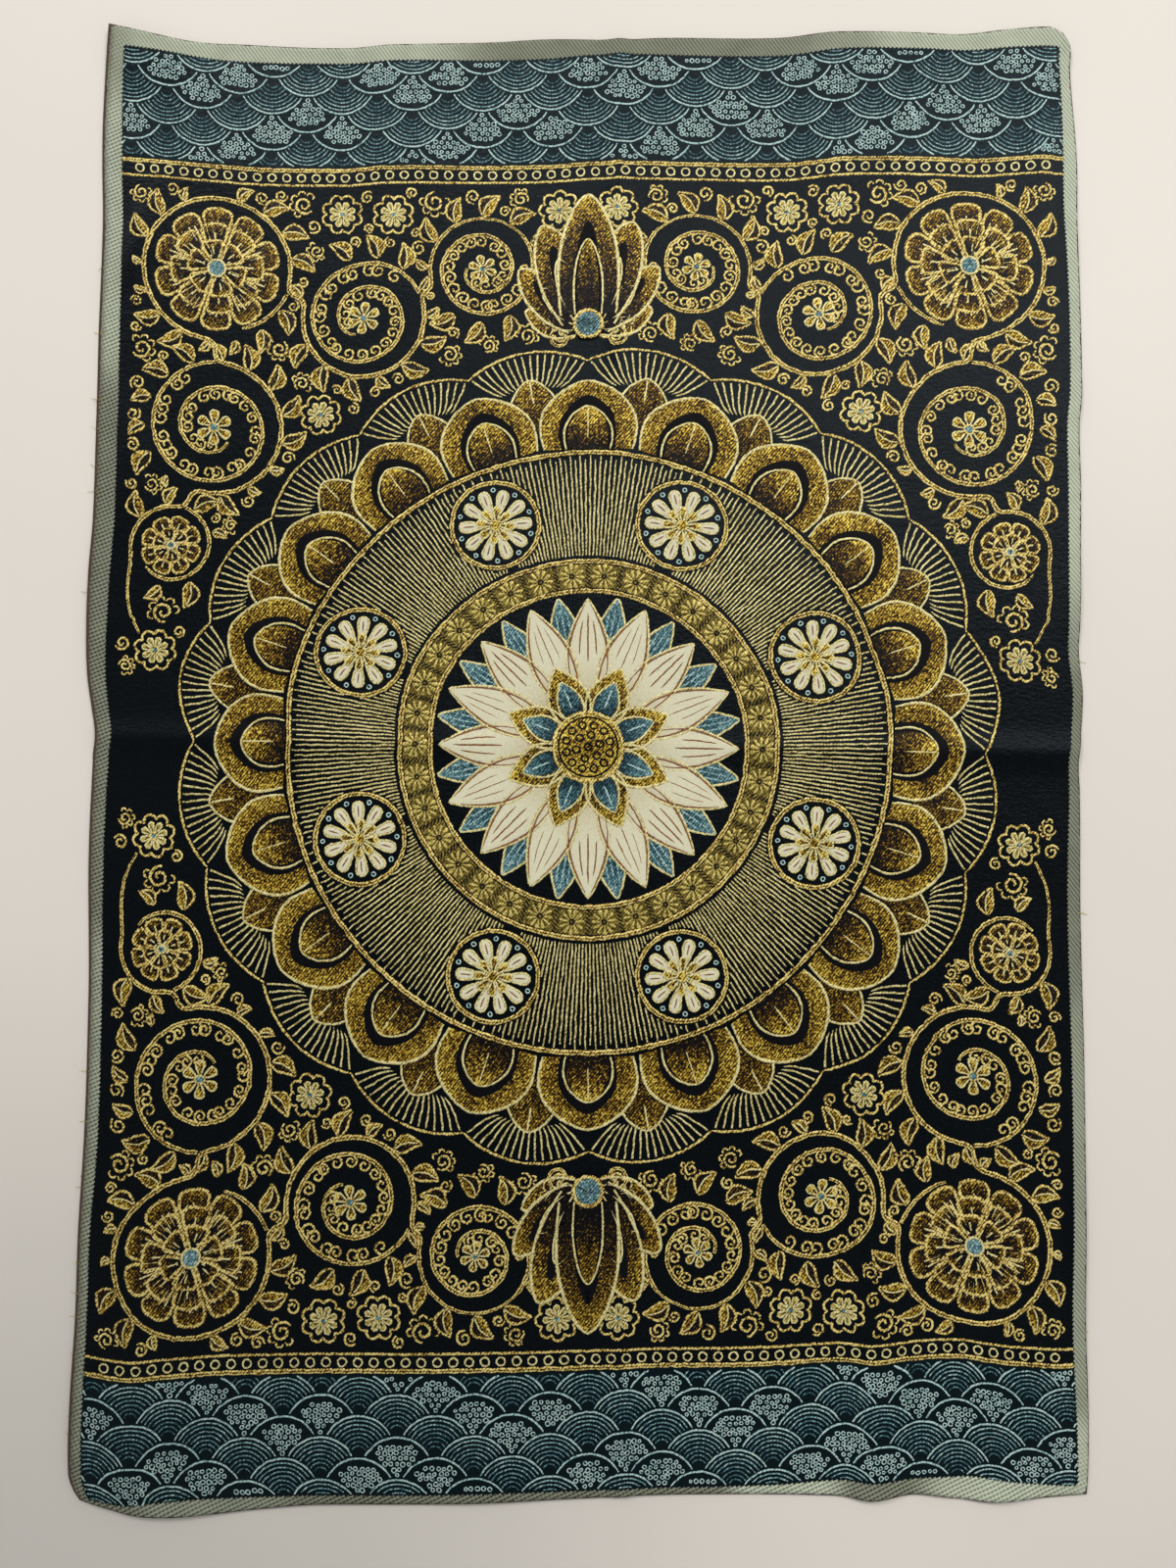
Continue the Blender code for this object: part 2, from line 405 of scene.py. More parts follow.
# Each woven yarn: the colours that its floats run through, from the ground showing
# between them to the brightest, how it shines, and the slot of its pieces.
yarns = {
    "giltWeft": {
        "stops": [
            (0.00, (0.003, 0.003, 0.004)), (0.20, (0.020, 0.009, 0.002)),
            (0.40, (0.110, 0.053, 0.005)), (0.60, (0.278, 0.166, 0.014)),
            (0.80, (0.520, 0.356, 0.036)), (1.00, (0.840, 0.680, 0.140)),
        ],
        "speckle": 0.95, "roughness": 0.42, "shine": 0.14, "metallic": 0.26, "bump": 0.20,
        "slot": "gilt_weft",
    },
    "lineGiltWeft": {
        "stops": [
            (0.00, (0.003, 0.003, 0.004)), (0.20, (0.024, 0.012, 0.003)),
            (0.40, (0.125, 0.068, 0.012)), (0.60, (0.310, 0.200, 0.038)),
            (0.80, (0.550, 0.400, 0.088)), (1.00, (0.820, 0.695, 0.270)),
        ],
        "speckle": 0.95, "roughness": 0.45, "shine": 0.14, "metallic": 0.18, "bump": 0.20,
        "slot": "gilt_weft",
    },
    "yellowGiltWeft": {
        "stops": [
            (0.00, (0.010, 0.007, 0.002)), (0.35, (0.110, 0.078, 0.014)),
            (0.65, (0.400, 0.310, 0.066)), (1.00, (0.820, 0.690, 0.230)),
        ],
        "speckle": 0.50, "roughness": 0.42, "shine": 0.16, "metallic": 0.30, "bump": 0.20,
        "slot": "gilt_weft",
    },
    "paleGiltWeft": {
        "stops": [
            (0.00, (0.006, 0.005, 0.003)), (0.30, (0.115, 0.086, 0.019)),
            (0.60, (0.435, 0.358, 0.120)), (1.00, (0.800, 0.735, 0.385)),
        ],
        "speckle": 0.60, "roughness": 0.46, "shine": 0.18, "metallic": 0.20, "bump": 0.18,
        "slot": "gilt_weft",
    },
    "ivoryWeft": {
        "stops": [
            (0.00, (0.130, 0.050, 0.022)), (0.30, (0.380, 0.240, 0.110)),
            (0.60, (0.570, 0.525, 0.345)), (1.00, (0.690, 0.675, 0.490)),
        ],
        "speckle": 0.22, "roughness": 0.72, "shine": 0.25, "metallic": 0.0, "bump": 0.10,
        "slot": "ivory_weft",
    },
    "blueWeft": {
        "stops": [
            (0.00, (0.002, 0.008, 0.010)), (0.30, (0.011, 0.042, 0.056)),
            (0.62, (0.084, 0.200, 0.225)), (1.00, (0.480, 0.640, 0.600)),
        ],
        "speckle": 0.55, "roughness": 0.55, "shine": 0.16, "metallic": 0.05, "bump": 0.14,
        "slot": "blue_weft",
    },
    "blackWeft": {
        "stops": [(0.00, (0.001, 0.001, 0.002)), (1.00, (0.005, 0.006, 0.008))],
        "speckle": 0.40, "roughness": 0.55, "shine": 0.08, "metallic": 0.0, "bump": 0.08,
        "slot": "satin_ground",
    },
    "brownWeft": {
        "stops": [(0.00, (0.030, 0.012, 0.006)), (1.00, (0.330, 0.140, 0.055))],
        "speckle": 0.50, "roughness": 0.60, "shine": 0.12, "metallic": 0.0, "bump": 0.08,
        "slot": "gilt_weft",
    },
}


def yarnMaterial(name):
    look = yarns[name]
    material, tree, shader = newMaterial(name, {
        "Roughness": look["roughness"], "Metallic": look["metallic"],
        "Specular IOR Level": look["shine"], "Sheen Weight": 0.02, "Sheen Roughness": 0.4,
    })
    floats = placeGroup(tree, yarnFloats, Shade=attribute(tree, "shade"),
                        Speckle=look["speckle"])
    feed(tree, shader.inputs["Base Color"], ramp(tree, floats["Tone"], look["stops"]))
    addBump(tree, shader, floats["Height"], look["bump"])
    return material


# The margin's sage yarn and the gaps in it, each in a painted lit colour and a painted shaded
# colour, mixed by place as painted light.
# Edges: the values between which a mask runs, then what it runs from and to.
sage = {
    # painted light: the first two colours are the yarn and its gaps painted as lit, the next two
    # the same painted as in shade
    "light": (0.550, 0.600, 0.465), "gap": (0.190, 0.218, 0.157),
    "paintedShadedYarn": (0.204, 0.212, 0.150), "paintedShadedGap": (0.023, 0.026, 0.017),
    "stain": (0.165, 0.135, 0.088), "stainEdges": (3.0, 7.5, 0.80, 0.0),  # mm from the left
    # the least painted light that any place of the margin gets
    "leastPaintedLight": 0.12,
    # falling lines along the top and right, rows of loops along the left and bottom
    "lineLean": 143.0, "linePitch": 1.9, "lineWaver": 0.25, "lineEdges": (0.15, 0.70, 0.30, 1.0),
    "loopLeans": (66.0, -20.0), "loopPitch": 2.3, "loopWaver": 0.4,
    "loopDepth": 0.60, "loopEdges": (0.16, 0.58, 1.0, 0.0),
    "changeEdges": (-0.12, 0.12),  # where the one gives way to the other at two corners
    "wear": 60.0, "fibres": 1500.0,
    "yarnTone": 0.90, "wearTone": 0.45, "fibreTone": 0.40, "toneDown": 0.36,
}
# Painted light on the margin, where it is painted as lit: x, y, how far it reaches, how much.
paintedLightSpots = [
    (-188, 446, 150, 0.80), (262, 446, 120, 0.85), (302, 280, 270, 1.00), (302, -310, 220, 0.45),
    (-302, 322, 130, 0.80), (-302, -180, 90, 0.52), (-302, -330, 140, 0.40),
    (-220, -446, 60, 0.45), (120, -446, 45, 1.00), (265, -446, 80, 1.00),
]


def paintedMarginLight(x, y):
    # painted light: how much each place of the margin is painted as lit, from 0 to 1
    paintedLight = sage["leastPaintedLight"] + 0 * x
    for glowX, glowY, reach, most in paintedLightSpots:
        near = np.clip(2 - 2 * np.hypot(x - glowX, y - glowY) / reach, 0, 1)
        paintedLight = np.maximum(paintedLight, most * near**2 * (3 - 2 * near))
    return paintedLight


def sageColour(tree, stained):
    lines = bands(tree, sage["lineLean"], sage["linePitch"], sage["lineWaver"])
    lines = smoothStep(tree, lines, *sage["lineEdges"])
    rows, across = [bands(tree, lean, sage["loopPitch"], sage["loopWaver"])
                    for lean in sage["loopLeans"]]
    across = weighted(tree, (across, sage["loopDepth"]), plus=1 - sage["loopDepth"])
    loops = smoothStep(tree, calculate(tree, "MULTIPLY", rows, across), *sage["loopEdges"])
    split = tree.nodes.new("ShaderNodeSeparateXYZ")
    feed(tree, split.inputs[0], tree.nodes.new("ShaderNodeTexCoord").outputs["Object"])
    corner = weighted(tree, (split.outputs[0], 1 / (cloth["halfWidth"] * mm)),
                      (split.outputs[1], 1 / (cloth["halfLength"] * mm)))
    isLined = smoothStep(tree, corner, *sage["changeEdges"])
    yarn = weighted(tree, (isLined, calculate(tree, "SUBTRACT", lines, loops)), plus=loops)
    tone = weighted(tree, (yarn, sage["yarnTone"]),
                    (noise(tree, sage["wear"], 3.0), sage["wearTone"]),
                    (noise(tree, sage["fibres"], 1.0), sage["fibreTone"]),
                    plus=-sage["toneDown"], clamp=True)
    # painted light: the lit and shaded copies of the margin's colours, mixed by the painted light
    # stored on the sheet
    paintedLight = attribute(tree, "paintedMarginLight")
    light = mixColours(tree, paintedLight, sage["paintedShadedYarn"], sage["light"])
    light = mixColours(tree, stained, light, sage["stain"])
    gap = mixColours(tree, paintedLight, sage["paintedShadedGap"], sage["gap"])
    return mixColours(tree, tone, gap, light), yarn


# The ground cloth: black satin field, dark teal under the wave bands, sage margin.
ground = {
    "black": (0.0009, 0.0016, 0.0019), "blackSpeck": (0.0046, 0.0068, 0.0086),
    "speckEdges": (0.48, 0.80),
    "teal": (0.0014, 0.0062, 0.0078),
    "bandFrom": 367.0,  # mm up the field where the wave bands start
    "toothLean": 45.0, "toothPitch": 1.9, "toothDepth": 0.9,
    "fusedEdge": (0.075, 0.055, 0.040),
    "fusedWidth": -0.7, "fusedMoreAtLeft": 1.1,
    "ragged": 260.0, "raggedFused": 2.2, "raggedStain": 4.0,  # mm that these two waver by
    "driftEdges": (0.3, 0.7), "roughness": (0.29, 0.35), "marginRoughness": 0.7,
    "mottle": (260, 520, 400), "mottleHeight": 12.0, "driftHeight": 60.0, "bump": 0.03,
}


def faceMaterial():
    material, tree, shader = newMaterial("brocadeFace", {
        "Sheen Weight": 0.02, "Sheen Roughness": 0.35, "Specular IOR Level": 0.13,
        "Specular Tint": (0.66, 0.80, 0.94),
    })
    threads = placeGroup(tree, groundThreads)
    speck = smoothStep(tree, threads["Speck"], *ground["speckEdges"])
    black = mixColours(tree, speck, ground["black"], ground["blackSpeck"])
    up = calculate(tree, "ABSOLUTE", attribute(tree, "upField"))
    inBand = calculate(tree, "GREATER_THAN", up, ground["bandFrom"])
    field = mixColours(tree, inBand, black, ground["teal"])
    ragged = noise(tree, ground["ragged"], 3.0)
    fromLeft = weighted(tree, (ragged, ground["raggedStain"]), plus=attribute(tree, "fromLeft"))
    margin, yarn = sageColour(tree, smoothStep(tree, fromLeft, *sage["stainEdges"]))
    teeth = bands(tree, ground["toothLean"], ground["toothPitch"])
    into = weighted(tree, (teeth, ground["toothDepth"]), plus=attribute(tree, "intoField"))
    inField = calculate(tree, "GREATER_THAN", into, ground["toothDepth"] / 2)
    face = mixColours(tree, inField, margin, field)
    toCut = weighted(tree, (ragged, -ground["raggedFused"]), plus=attribute(tree, "toOutline"))
    fused = calculate(tree, "LESS_THAN", toCut, ground["fusedWidth"])
    feed(tree, shader.inputs["Base Color"], mixColours(tree, fused, face, ground["fusedEdge"]))
    rough = smoothStep(tree, threads["Drift"], *ground["driftEdges"], *ground["roughness"])
    feed(tree, shader.inputs["Roughness"],
         mixColours(tree, inField, [ground["marginRoughness"]] * 3, rough))
    mottle = noise(tree, 1.0, 3.0, 0.6, stretch=ground["mottle"])
    height = weighted(tree, (yarn, calculate(tree, "SUBTRACT", 1.0, inField)),
                      (threads["Drift"], ground["driftHeight"]),
                      (mottle, ground["mottleHeight"]), plus=threads["Height"])
    addBump(tree, shader, height, ground["bump"])
    return material


def reverseMaterial():
    # the back: long loose floats of every yarn, in the colours' rough places
    material, tree, shader = newMaterial("brocadeReverse", {
        "Roughness": 0.65, "Sheen Weight": 0.3,
    })
    floats = bands(tree, 90, 0.9, 1.5)
    streaks = noise(tree, 1.0, stretch=(60, 900, 60))
    yarn = ramp(tree, noise(tree, 14), [
        (0.30, (0.010, 0.012, 0.018)), (0.45, (0.120, 0.080, 0.025)),
        (0.55, (0.220, 0.190, 0.120)), (0.68, (0.030, 0.080, 0.110)),
    ])
    tone = smoothStep(tree, calculate(tree, "MULTIPLY", floats, streaks), 0.1, 0.6)
    feed(tree, shader.inputs["Base Color"], mixColours(tree, tone, (0.006, 0.007, 0.010), yarn))
    addBump(tree, shader, calculate(tree, "ADD", floats, streaks), 0.15)
    return material


def rimMaterial():
    # the hot-cut rim: yarn ends melted to a thin brown line
    material, tree, shader = newMaterial("fusedRim", {"Roughness": 0.45})
    beads = noise(tree, 900)
    feed(tree, shader.inputs["Base Color"], ramp(tree, beads, [
        (0.35, (0.012, 0.008, 0.006)), (0.60, (0.070, 0.045, 0.022)),
        (0.75, (0.180, 0.170, 0.110)),
    ]))
    addBump(tree, shader, beads, 0.3)
    return material


materials = {name: yarnMaterial(name) for name in yarns}
print("materials made:", len(materials) + 3)


# Objects and meshes.

def newObject(name, data):
    made = bpy.data.objects.new(name, data)
    scene.collection.objects.link(made)
    return made


def newMesh(name, shape):
    mesh = bpy.data.meshes.new(name)
    shape.to_mesh(mesh)
    shape.free()
    return mesh


def meshOfCurve(name, curve):
    source = newObject(name + " lines", curve)
    graph = bpy.context.evaluated_depsgraph_get()
    mesh = bpy.data.meshes.new_from_object(source.evaluated_get(graph))
    mesh.name = name
    mesh.materials.clear()
    bpy.data.objects.remove(source)
    return mesh


def placesOf(mesh):
    places = np.empty(len(mesh.vertices) * 3, dtype=np.float32)
    mesh.vertices.foreach_get("co", places)
    return places.reshape(-1, 3).T


def setPlaces(mesh, x, y, z):
    mesh.vertices.foreach_set("co", (np.stack([x, y, z], axis=1) * mm).ravel())
    mesh.update()


def setAttribute(mesh, name, values):
    made = mesh.attributes.new(name, "FLOAT", "POINT")
    made.data.foreach_set("value", np.asarray(values, dtype=np.float32))


def finishPiece(name, mesh):
    mesh.shade_smooth()
    piece = newObject(name, mesh)
    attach(piece, "root")
    return piece


def finishYarns(name, mesh, yarn):
    mesh.materials.append(materials[yarn])
    return finishPiece(name, mesh)


def gridLines(half, crease):
    # places of the grid lines: closer together near the ends and the crease
    places = [-half]
    while places[-1] < half:
        near = min(half - abs(places[-1]), abs(places[-1] - crease))
        fine = near < cloth["fineReach"]
        places.append(places[-1] + cloth["fineCell" if fine else "plainCell"])
    places = np.array(places)
    return -half + (places + half) * 2 * half / (places[-1] + half)


def makeGroundCloth():
    columns = gridLines(cloth["halfWidth"], creases["longX"])
    rows = gridLines(cloth["halfLength"], creases["crossAboveMiddle"])
    sheet = bmesh.new()
    bmesh.ops.create_grid(sheet, x_segments=len(columns) - 1, y_segments=len(rows) - 1,
                          size=0.5)
    mesh = newMesh("brocade_cloth", sheet)
    x, y = [lines[np.rint((share + 0.5) * (len(lines) - 1)).astype(int)]
            for lines, share in zip((columns, rows), placesOf(mesh))]
    setPlaces(mesh, *clothPlace(x, y))
    side, end = marginWidths(x, y)
    toSide, toEnd = cloth["halfWidth"] - np.abs(x), cloth["halfLength"] - np.abs(y)
    setAttribute(mesh, "intoField", np.minimum(toSide - side, toEnd - end))
    moreFused = np.where(x < 0, ground["fusedMoreAtLeft"], 0.0)
    setAttribute(mesh, "toOutline", np.minimum(toSide - moreFused, toEnd))
    setAttribute(mesh, "fromLeft", x + cloth["halfWidth"])
    setAttribute(mesh, "upField", y / (cloth["halfLength"] - end) * cloth["fieldHalfLength"])
    # the margin's painted light, stored on the sheet for its colours
    setAttribute(mesh, "paintedMarginLight", paintedMarginLight(x, y))
    for material in (faceMaterial(), reverseMaterial(), rimMaterial()):
        mesh.materials.append(material)
    piece = finishPiece("brocade_cloth", mesh)
    solidify = piece.modifiers.new("cloth thickness", "SOLIDIFY")
    solidify.thickness = cloth["thickness"] * mm
    solidify.offset = 1.0
    solidify.material_offset = 1
    solidify.material_offset_rim = 2
    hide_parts("brocade_panel")
    return piece


brocadeCloth = makeGroundCloth()
print("ground cloth:", len(brocadeCloth.data.polygons), "faces")


# Drawing with yarn. A place in the pattern is a complex number: real across the cloth,
# imaginary up it. A stroke is a line of float stitches, a patch an area filled with them.

def rounded(foot, crest, footShade, crestShade):
    # a stroke's section: share of the half width, height for each unit of it, shade there
    return [(-1, foot, footShade), (0, crest, crestShade), (1, foot, footShade)]


strokeKinds = {
    "gilt_vines": {
        "profile": [(-1, -0.12, 0.48), (-0.5, 0.26, 1.00), (0, 0.10, 0.26),
                    (0.5, 0.26, 1.00), (1, -0.12, 0.48)],  # two ridges with a gap between
        "step": 2.5, "jitter": 0.16, "yarn": "lineGiltWeft",
    },
    "gilt_curls": {
        "profile": rounded(-0.12, 0.30, 0.46, 0.98),
        "step": 1.9, "jitter": 0.13, "yarn": "lineGiltWeft",
    },
    "gilt_outlines": {
        "profile": rounded(-0.15, 0.34, 0.60, 0.95),
        "step": 2.0, "jitter": 0.10, "yarn": "paleGiltWeft",
    },
    "gilt_rays": {
        "profile": rounded(-0.15, 0.34, 0.45, 0.85),
        "step": 3.2, "jitter": 0.16, "yarn": "paleGiltWeft",
    },
    "dark_veins": {
        "profile": rounded(-0.15, 0.20, 0.5, 0.5),
        "step": 2.0, "jitter": 0.08, "yarn": "blackWeft",
    },
    "brown_veins": {
        "profile": rounded(-0.15, 0.24, 0.5, 0.7),
        "step": 2.0, "jitter": 0.08, "yarn": "brownWeft",
    },
    "blue_waves": {
        "profile": rounded(-0.15, 0.32, 0.45, 0.80),
        "step": 2.4, "jitter": 0.10, "yarn": "blueWeft",
    },
    "foam_rings": {
        "profile": rounded(-0.15, 0.36, 0.75, 1.05),
        "step": 1.3, "jitter": 0.10, "yarn": "blueWeft",
    },
}
patchKinds = {
    "gilt_petals": "giltWeft", "gilt_flowers": "yellowGiltWeft", "ivory_petals": "ivoryWeft",
    "blue_petals": "blueWeft", "black_petals": "blackWeft",
}
# Half width of a petal along its length, from base to tip, as a share of the widest.
petalShapes = {
    "lotus": lambda up: np.sin(np.pi * (0.17 + 0.83 * up**0.95)) ** 0.9,
    "arch": lambda up: (0.90 + 0.13 * np.sin(np.pi * up)) * (1 - up**3) ** 0.60,
    "leaf": lambda up: 0.07 * (1 - up) + np.sin(np.pi * up**0.72) ** 1.15,
    "drop": lambda up: (0.12 + 1.0 * up**0.9) * (1 - up**6) ** 0.5,
    "fan": lambda up: (0.14 + 0.92 * up**0.9) * (1 - up**9) ** 0.45,
}
stitches = {
    "layer": 0.16,  # mm that a fill stands above what it is on; heights are counted in it
    "edgeDrop": 0.12,  # mm that its edge dips below that
    "thicknessVaries": 0.09,
    "taper": 0.14,  # share of a stroke over which each of its ends narrows
}
strokes = []
patches = []


def unit(degrees):
    return np.exp(1j * np.radians(degrees))


def ways(count, shift=0.0, first=0.0):
    # that many directions, evenly round
    return unit(first + 360 * (np.arange(count) + shift) / count)


def arc(centre, radius, start, end):
    count = max(4, int(abs(end - start) * radius / 57.3 / 1.5))
    return centre + radius * unit(np.linspace(start, end, count))


def spiral(centre, outer, inner, start, turns):
    # winds inwards from the outer radius; negative turns run clockwise
    share = np.linspace(0, 1, max(12, int(abs(turns) * 36)))
    radius = inner + (outer - inner) * (1 - share) ** 0.85
    return centre + radius * unit(start + 360 * turns * share)


def lengthAlong(points):
    return np.concatenate([[0], np.cumsum(np.abs(np.diff(points)))])


def atLengths(places, length, points):
    return np.interp(places, length, points.real) + 1j * np.interp(places, length, points.imag)


def addStroke(kind, points, width, layer=0.0, ends=(0.55, 0.55), closed=False, tone=1.0):
    strokes.append({"kind": kind, "points": np.asarray(points, dtype=complex), "width": width,
                    "layer": layer, "ends": ends, "closed": closed, "tone": tone})


def addPatch(kind, place, shade, layer=0.0, cells=(8, 10)):
    # place and shade are functions of the share across (-1 to 1) and along (0 to 1)
    patches.append({"kind": kind, "place": place, "shade": shade, "layer": layer,
                    "cells": cells})


def deepAtBase(across, up):
    # dark at the foot of the petal and beside its middle line, bright towards the rim
    return 0.02 + 0.72 * np.clip(up * 1.3, 0, 1) ** 0.8 - 0.08 * (1 - np.abs(across))


def risingShade(foot, more):
    # evenly brighter from foot to tip
    return lambda across, up: foot + more * up


def evenShade(value):
    return risingShade(value, 0.0)


def ivoryShade(across, up):
    # plain ivory, tanned towards its foot, its rim and its very tip
    foot = np.clip((0.40 - up) / 0.40, 0, 1)
    return 0.92 - 0.42 * foot - 0.16 * np.abs(across) ** 4 - 0.25 * np.clip(up - 0.8, 0, 1)


def eased(share):
    # closer steps towards the tip, where a petal's outline turns fastest
    return 1 - (1 - share) ** 1.8


def addPetal(kind, base, tip, width, shape="lotus", bend=0.0, layer=0.0, shade=deepAtBase,
             edge="gilt_outlines", edgeWidth=1.5, cells=(8, 10)):
    spine = tip - base
    side = spine / abs(spine) * 1j

    def place(across, up):
        middle = base + spine * up + side * bend * 4 * up * (1 - up)
        breadth = petalShapes[shape](np.clip(up, 0, 1))
        return middle + side * across * width / 2 * breadth

    addPatch(kind, lambda a, t: place(a, eased(t)), lambda a, t: shade(a, eased(t)),
             layer, cells)
    if edge:
        up = eased(np.linspace(0, 1, 21))
        rim = np.concatenate([place(-1.0, up), place(1.0, up[::-1])])
        addStroke(edge, rim, edgeWidth, layer + 0.6, ends=(0.7, 0.7))
    return place


def addVein(kind, petal, start, end, points, width, layer, ends, aside=0.0, spread=0.0):
    # a line up a petal, that share aside of its middle and spreading from it
    up = np.linspace(start, end, points)
    addStroke(kind, petal(aside + spread * up, up), width, layer, ends)


def addRing(kind, centre, radius, width, layer=0.0, tone=1.0):
    count = max(10, int(2 * math.pi * radius / 1.6))
    addStroke(kind, centre + radius * ways(count), width, layer, (1, 1), True, tone)


def addDisc(kind, centre, inner, outer, shade, layer=0.0, around=48, across=4):
    middle, half = (inner + outer) / 2, (outer - inner) / 2

    def place(share, turn):
        return centre + (middle + half * share) * unit(360 * turn)

    addPatch(kind, place, shade, layer, (across, around))


# A round flower. Lengths are shares of its radius, the petals' width a share of their pitch.
flower = {
    "heart": 0.26, "heartRing": 0.27, "ringWidth": 1.6, "pitchAt": 0.66, "petalWidth": 0.9,
    "edgeWidth": 1.4, "vein": (0.45, 0.85, 5), "veinWidth": 0.9,
}


def addFlower(centre, radius, count, kind, turn=0.0, layer=0.0, shade=deepAtBase,
              heart="gilt_petals", veins=None):
    pitch = 2 * math.pi * radius * flower["pitchAt"] / count
    foot = radius * flower["heart"]
    for way in ways(count, first=turn):
        petal = addPetal(kind, centre + way * foot, centre + way * radius,
                         pitch * flower["petalWidth"], "drop", layer=layer, shade=shade,
                         edgeWidth=flower["edgeWidth"], cells=(4, 6))
        if veins:
            addVein(veins, petal, *flower["vein"], flower["veinWidth"], layer + 1.4, (0.4, 0.4))
    addDisc(heart, centre, 0.2, foot, evenShade(0.6), layer + 1, 16, 2)
    addRing("gilt_curls", centre, radius * flower["heartRing"], flower["ringWidth"],
            layer + 1.5)


# The middle rosette: a lotus in rings of petals. Layers say what lies on what.
rosette = {
    "podRadius": 21.0, "podLayer": 4.6, "podRim": 2.6,
    "seedRings": [(0.0, 1), (7.4, 6), (13.6, 12)],  # radius, seeds
    "seedRadius": 2.3, "seedLayer": 6.4, "seedTurn": 15,
    "innerPetals": 8, "innerFoot": 16, "innerTip": 52.0, "innerWidth": 25.0, "innerLayer": 2.6,
    "ivoryPetals": 16, "ivoryBase": 32.0, "ivoryTip": 91.0, "ivoryWidth": 27.0,
    "bluePetals": 16, "blueBase": 52, "blueTip": 93.5, "blueWidth": 18.0,
    "blueLines": (-3.4, 0, 3.4),
    "bandInner": 96.5, "bandOuter": 115.0, "bandRim": 3.0,
    "bandFlowers": 34, "bandPetals": 11,
    "hatches": (-7.2, -4.8, -2.4, 0, 2.4, 4.8, 7.2), "hatchTurn": 55,
    "rayInner": 118.5, "rayOuter": 181.0, "rays": 360, "rayWidth": 1.55,
    "rayShorter": 2.5, "rayPoints": 60, "rayGap": 1.8,
    "roundels": 8, "roundelAt": 149.0, "roundelRadius": 27.0, "roundelTurn": 22.5,
    "roundelPetals": 10, "roundelHeart": 8,
    "roundelRim": (3.0, 0.625),  # width, layer
    "archCount": 20, "archBase": 185.0, "archTip": 228.0, "archWidth": 60.0, "archLayer": 2.4,
    "skirtFoot": 229.0, "skirtTip": 250.0, "skirtPleats": 8, "skirtDrop": 9.0,
    "pleat": (1.9, -0.3125), "scallopWidth": 2.2,  # width and layer; width
}
# Veins of an ivory petal: share up it from and to, points, width, ends, then how far aside
# of its middle they run and how much they spread upwards.
ivoryVeins = [
    (0.42, 0.78, 8, 0.9, (0.3, 0.2), 0.34, 0.1),
    (0.05, 0.95, 16, 1.1, (0.3, 0.5), 0.88, 0.0),
]


def drawPod():
    # the seed pod in the middle
    radius, layer = rosette["podRadius"], rosette["seedLayer"]
    addDisc("gilt_petals", 0, 0.3, radius, lambda a, t: 0.62 + 0.12 * a,
            rosette["podLayer"], 48, 6)
    addRing("gilt_curls", 0, radius, rosette["podRim"], rosette["podLayer"] + 0.4)
    addRing("dark_veins", 0, radius * 0.86, 1.2, layer)
    for ringRadius, count in rosette["seedRings"]:
        for way in ways(count, first=rosette["seedTurn"]):
            addRing("dark_veins", ringRadius * way, rosette["seedRadius"], 1.3, layer)


def drawLotus():
    blueShade = risingShade(0.05, 0.62)
    for way in ways(rosette["bluePetals"], 0.5):
        addPetal("blue_petals", way * rosette["blueBase"], way * rosette["blueTip"],
                 rosette["blueWidth"], shade=blueShade)
        for lean in rosette["blueLines"]:
            line = way * np.linspace(66, 87 - abs(lean), 8) + way * 1j * lean
            addStroke("foam_rings", line, 1.2, 1.4, (0.3, 0.3), tone=0.8)
    for n, way in enumerate(ways(rosette["ivoryPetals"])):
        petal = addPetal("ivory_petals", way * rosette["ivoryBase"], way * rosette["ivoryTip"],
                         rosette["ivoryWidth"], layer=1 + 0.5 * (n % 2), shade=ivoryShade,
                         edgeWidth=1.6)
        addVein("brown_veins", petal, 0.35, 0.86, 9, 1.1, 2.4, (0.4, 0.2))
        for side in (-1, 1):
            for start, end, points, width, ends, aside, spread in ivoryVeins:
                addVein("brown_veins", petal, start, end, points, width, 2.4, ends,
                        side * aside, side * spread)
    tip, width, layer = rosette["innerTip"], rosette["innerWidth"], rosette["innerLayer"]
    for way in ways(rosette["innerPetals"], 0.5):
        addPetal("gilt_petals", way * rosette["innerFoot"], way * tip, width, layer=layer,
                 shade=risingShade(0.15, 0.55), edgeWidth=1.8)
        petal = addPetal("blue_petals", way * (rosette["innerFoot"] + 2), way * (tip - 9),
                         width * 0.62, layer=layer + 1, shade=blueShade, edgeWidth=1.3,
                         cells=(6, 8))
        addVein("foam_rings", petal, 0.3, 0.8, 7, 1.2, layer + 2.2, (0.4, 0.3))


def drawRosetteBand():
    # a gold ring with small dark flowers in it
    inner, outer, count = rosette["bandInner"], rosette["bandOuter"], rosette["bandFlowers"]
    middle = (inner + outer) / 2
    addDisc("gilt_flowers", 0, inner, outer, evenShade(0.36), 0.0, 180, 4)
    for radius in (inner, outer):
        addRing("gilt_vines", 0, radius, rosette["bandRim"], 1)
    for n in range(count):
        turn = 360 * n / count
        spot = middle * unit(turn)
        for way in ways(rosette["bandPetals"], first=turn):
            addPetal("gilt_flowers", spot + way * 1.8, spot + way * 7.8, 3.2, "drop",
                     layer=1, shade=evenShade(0.80), edge=None, cells=(2, 4))
        addRing("dark_veins", spot, 1.5, 1.0, 2.2)
        gap = middle * unit(360 * (n + 0.5) / count)
        for reach in rosette["hatches"]:
            hatch = gap * (1 + reach / middle) \
                + unit(turn + rosette["hatchTurn"]) * np.array([-2.0, 0, 2.0])
            addStroke("dark_veins", hatch, 1.0, 1.4, (0.6, 0.6))


def runsOf(kept):
    # slices of neighbouring kept points, three or more at a time
    edges = np.flatnonzero(np.diff(np.concatenate([[0], kept.astype(int), [0]])))
    return [slice(a, b) for a, b in zip(edges[::2], edges[1::2]) if b - a >= 3]


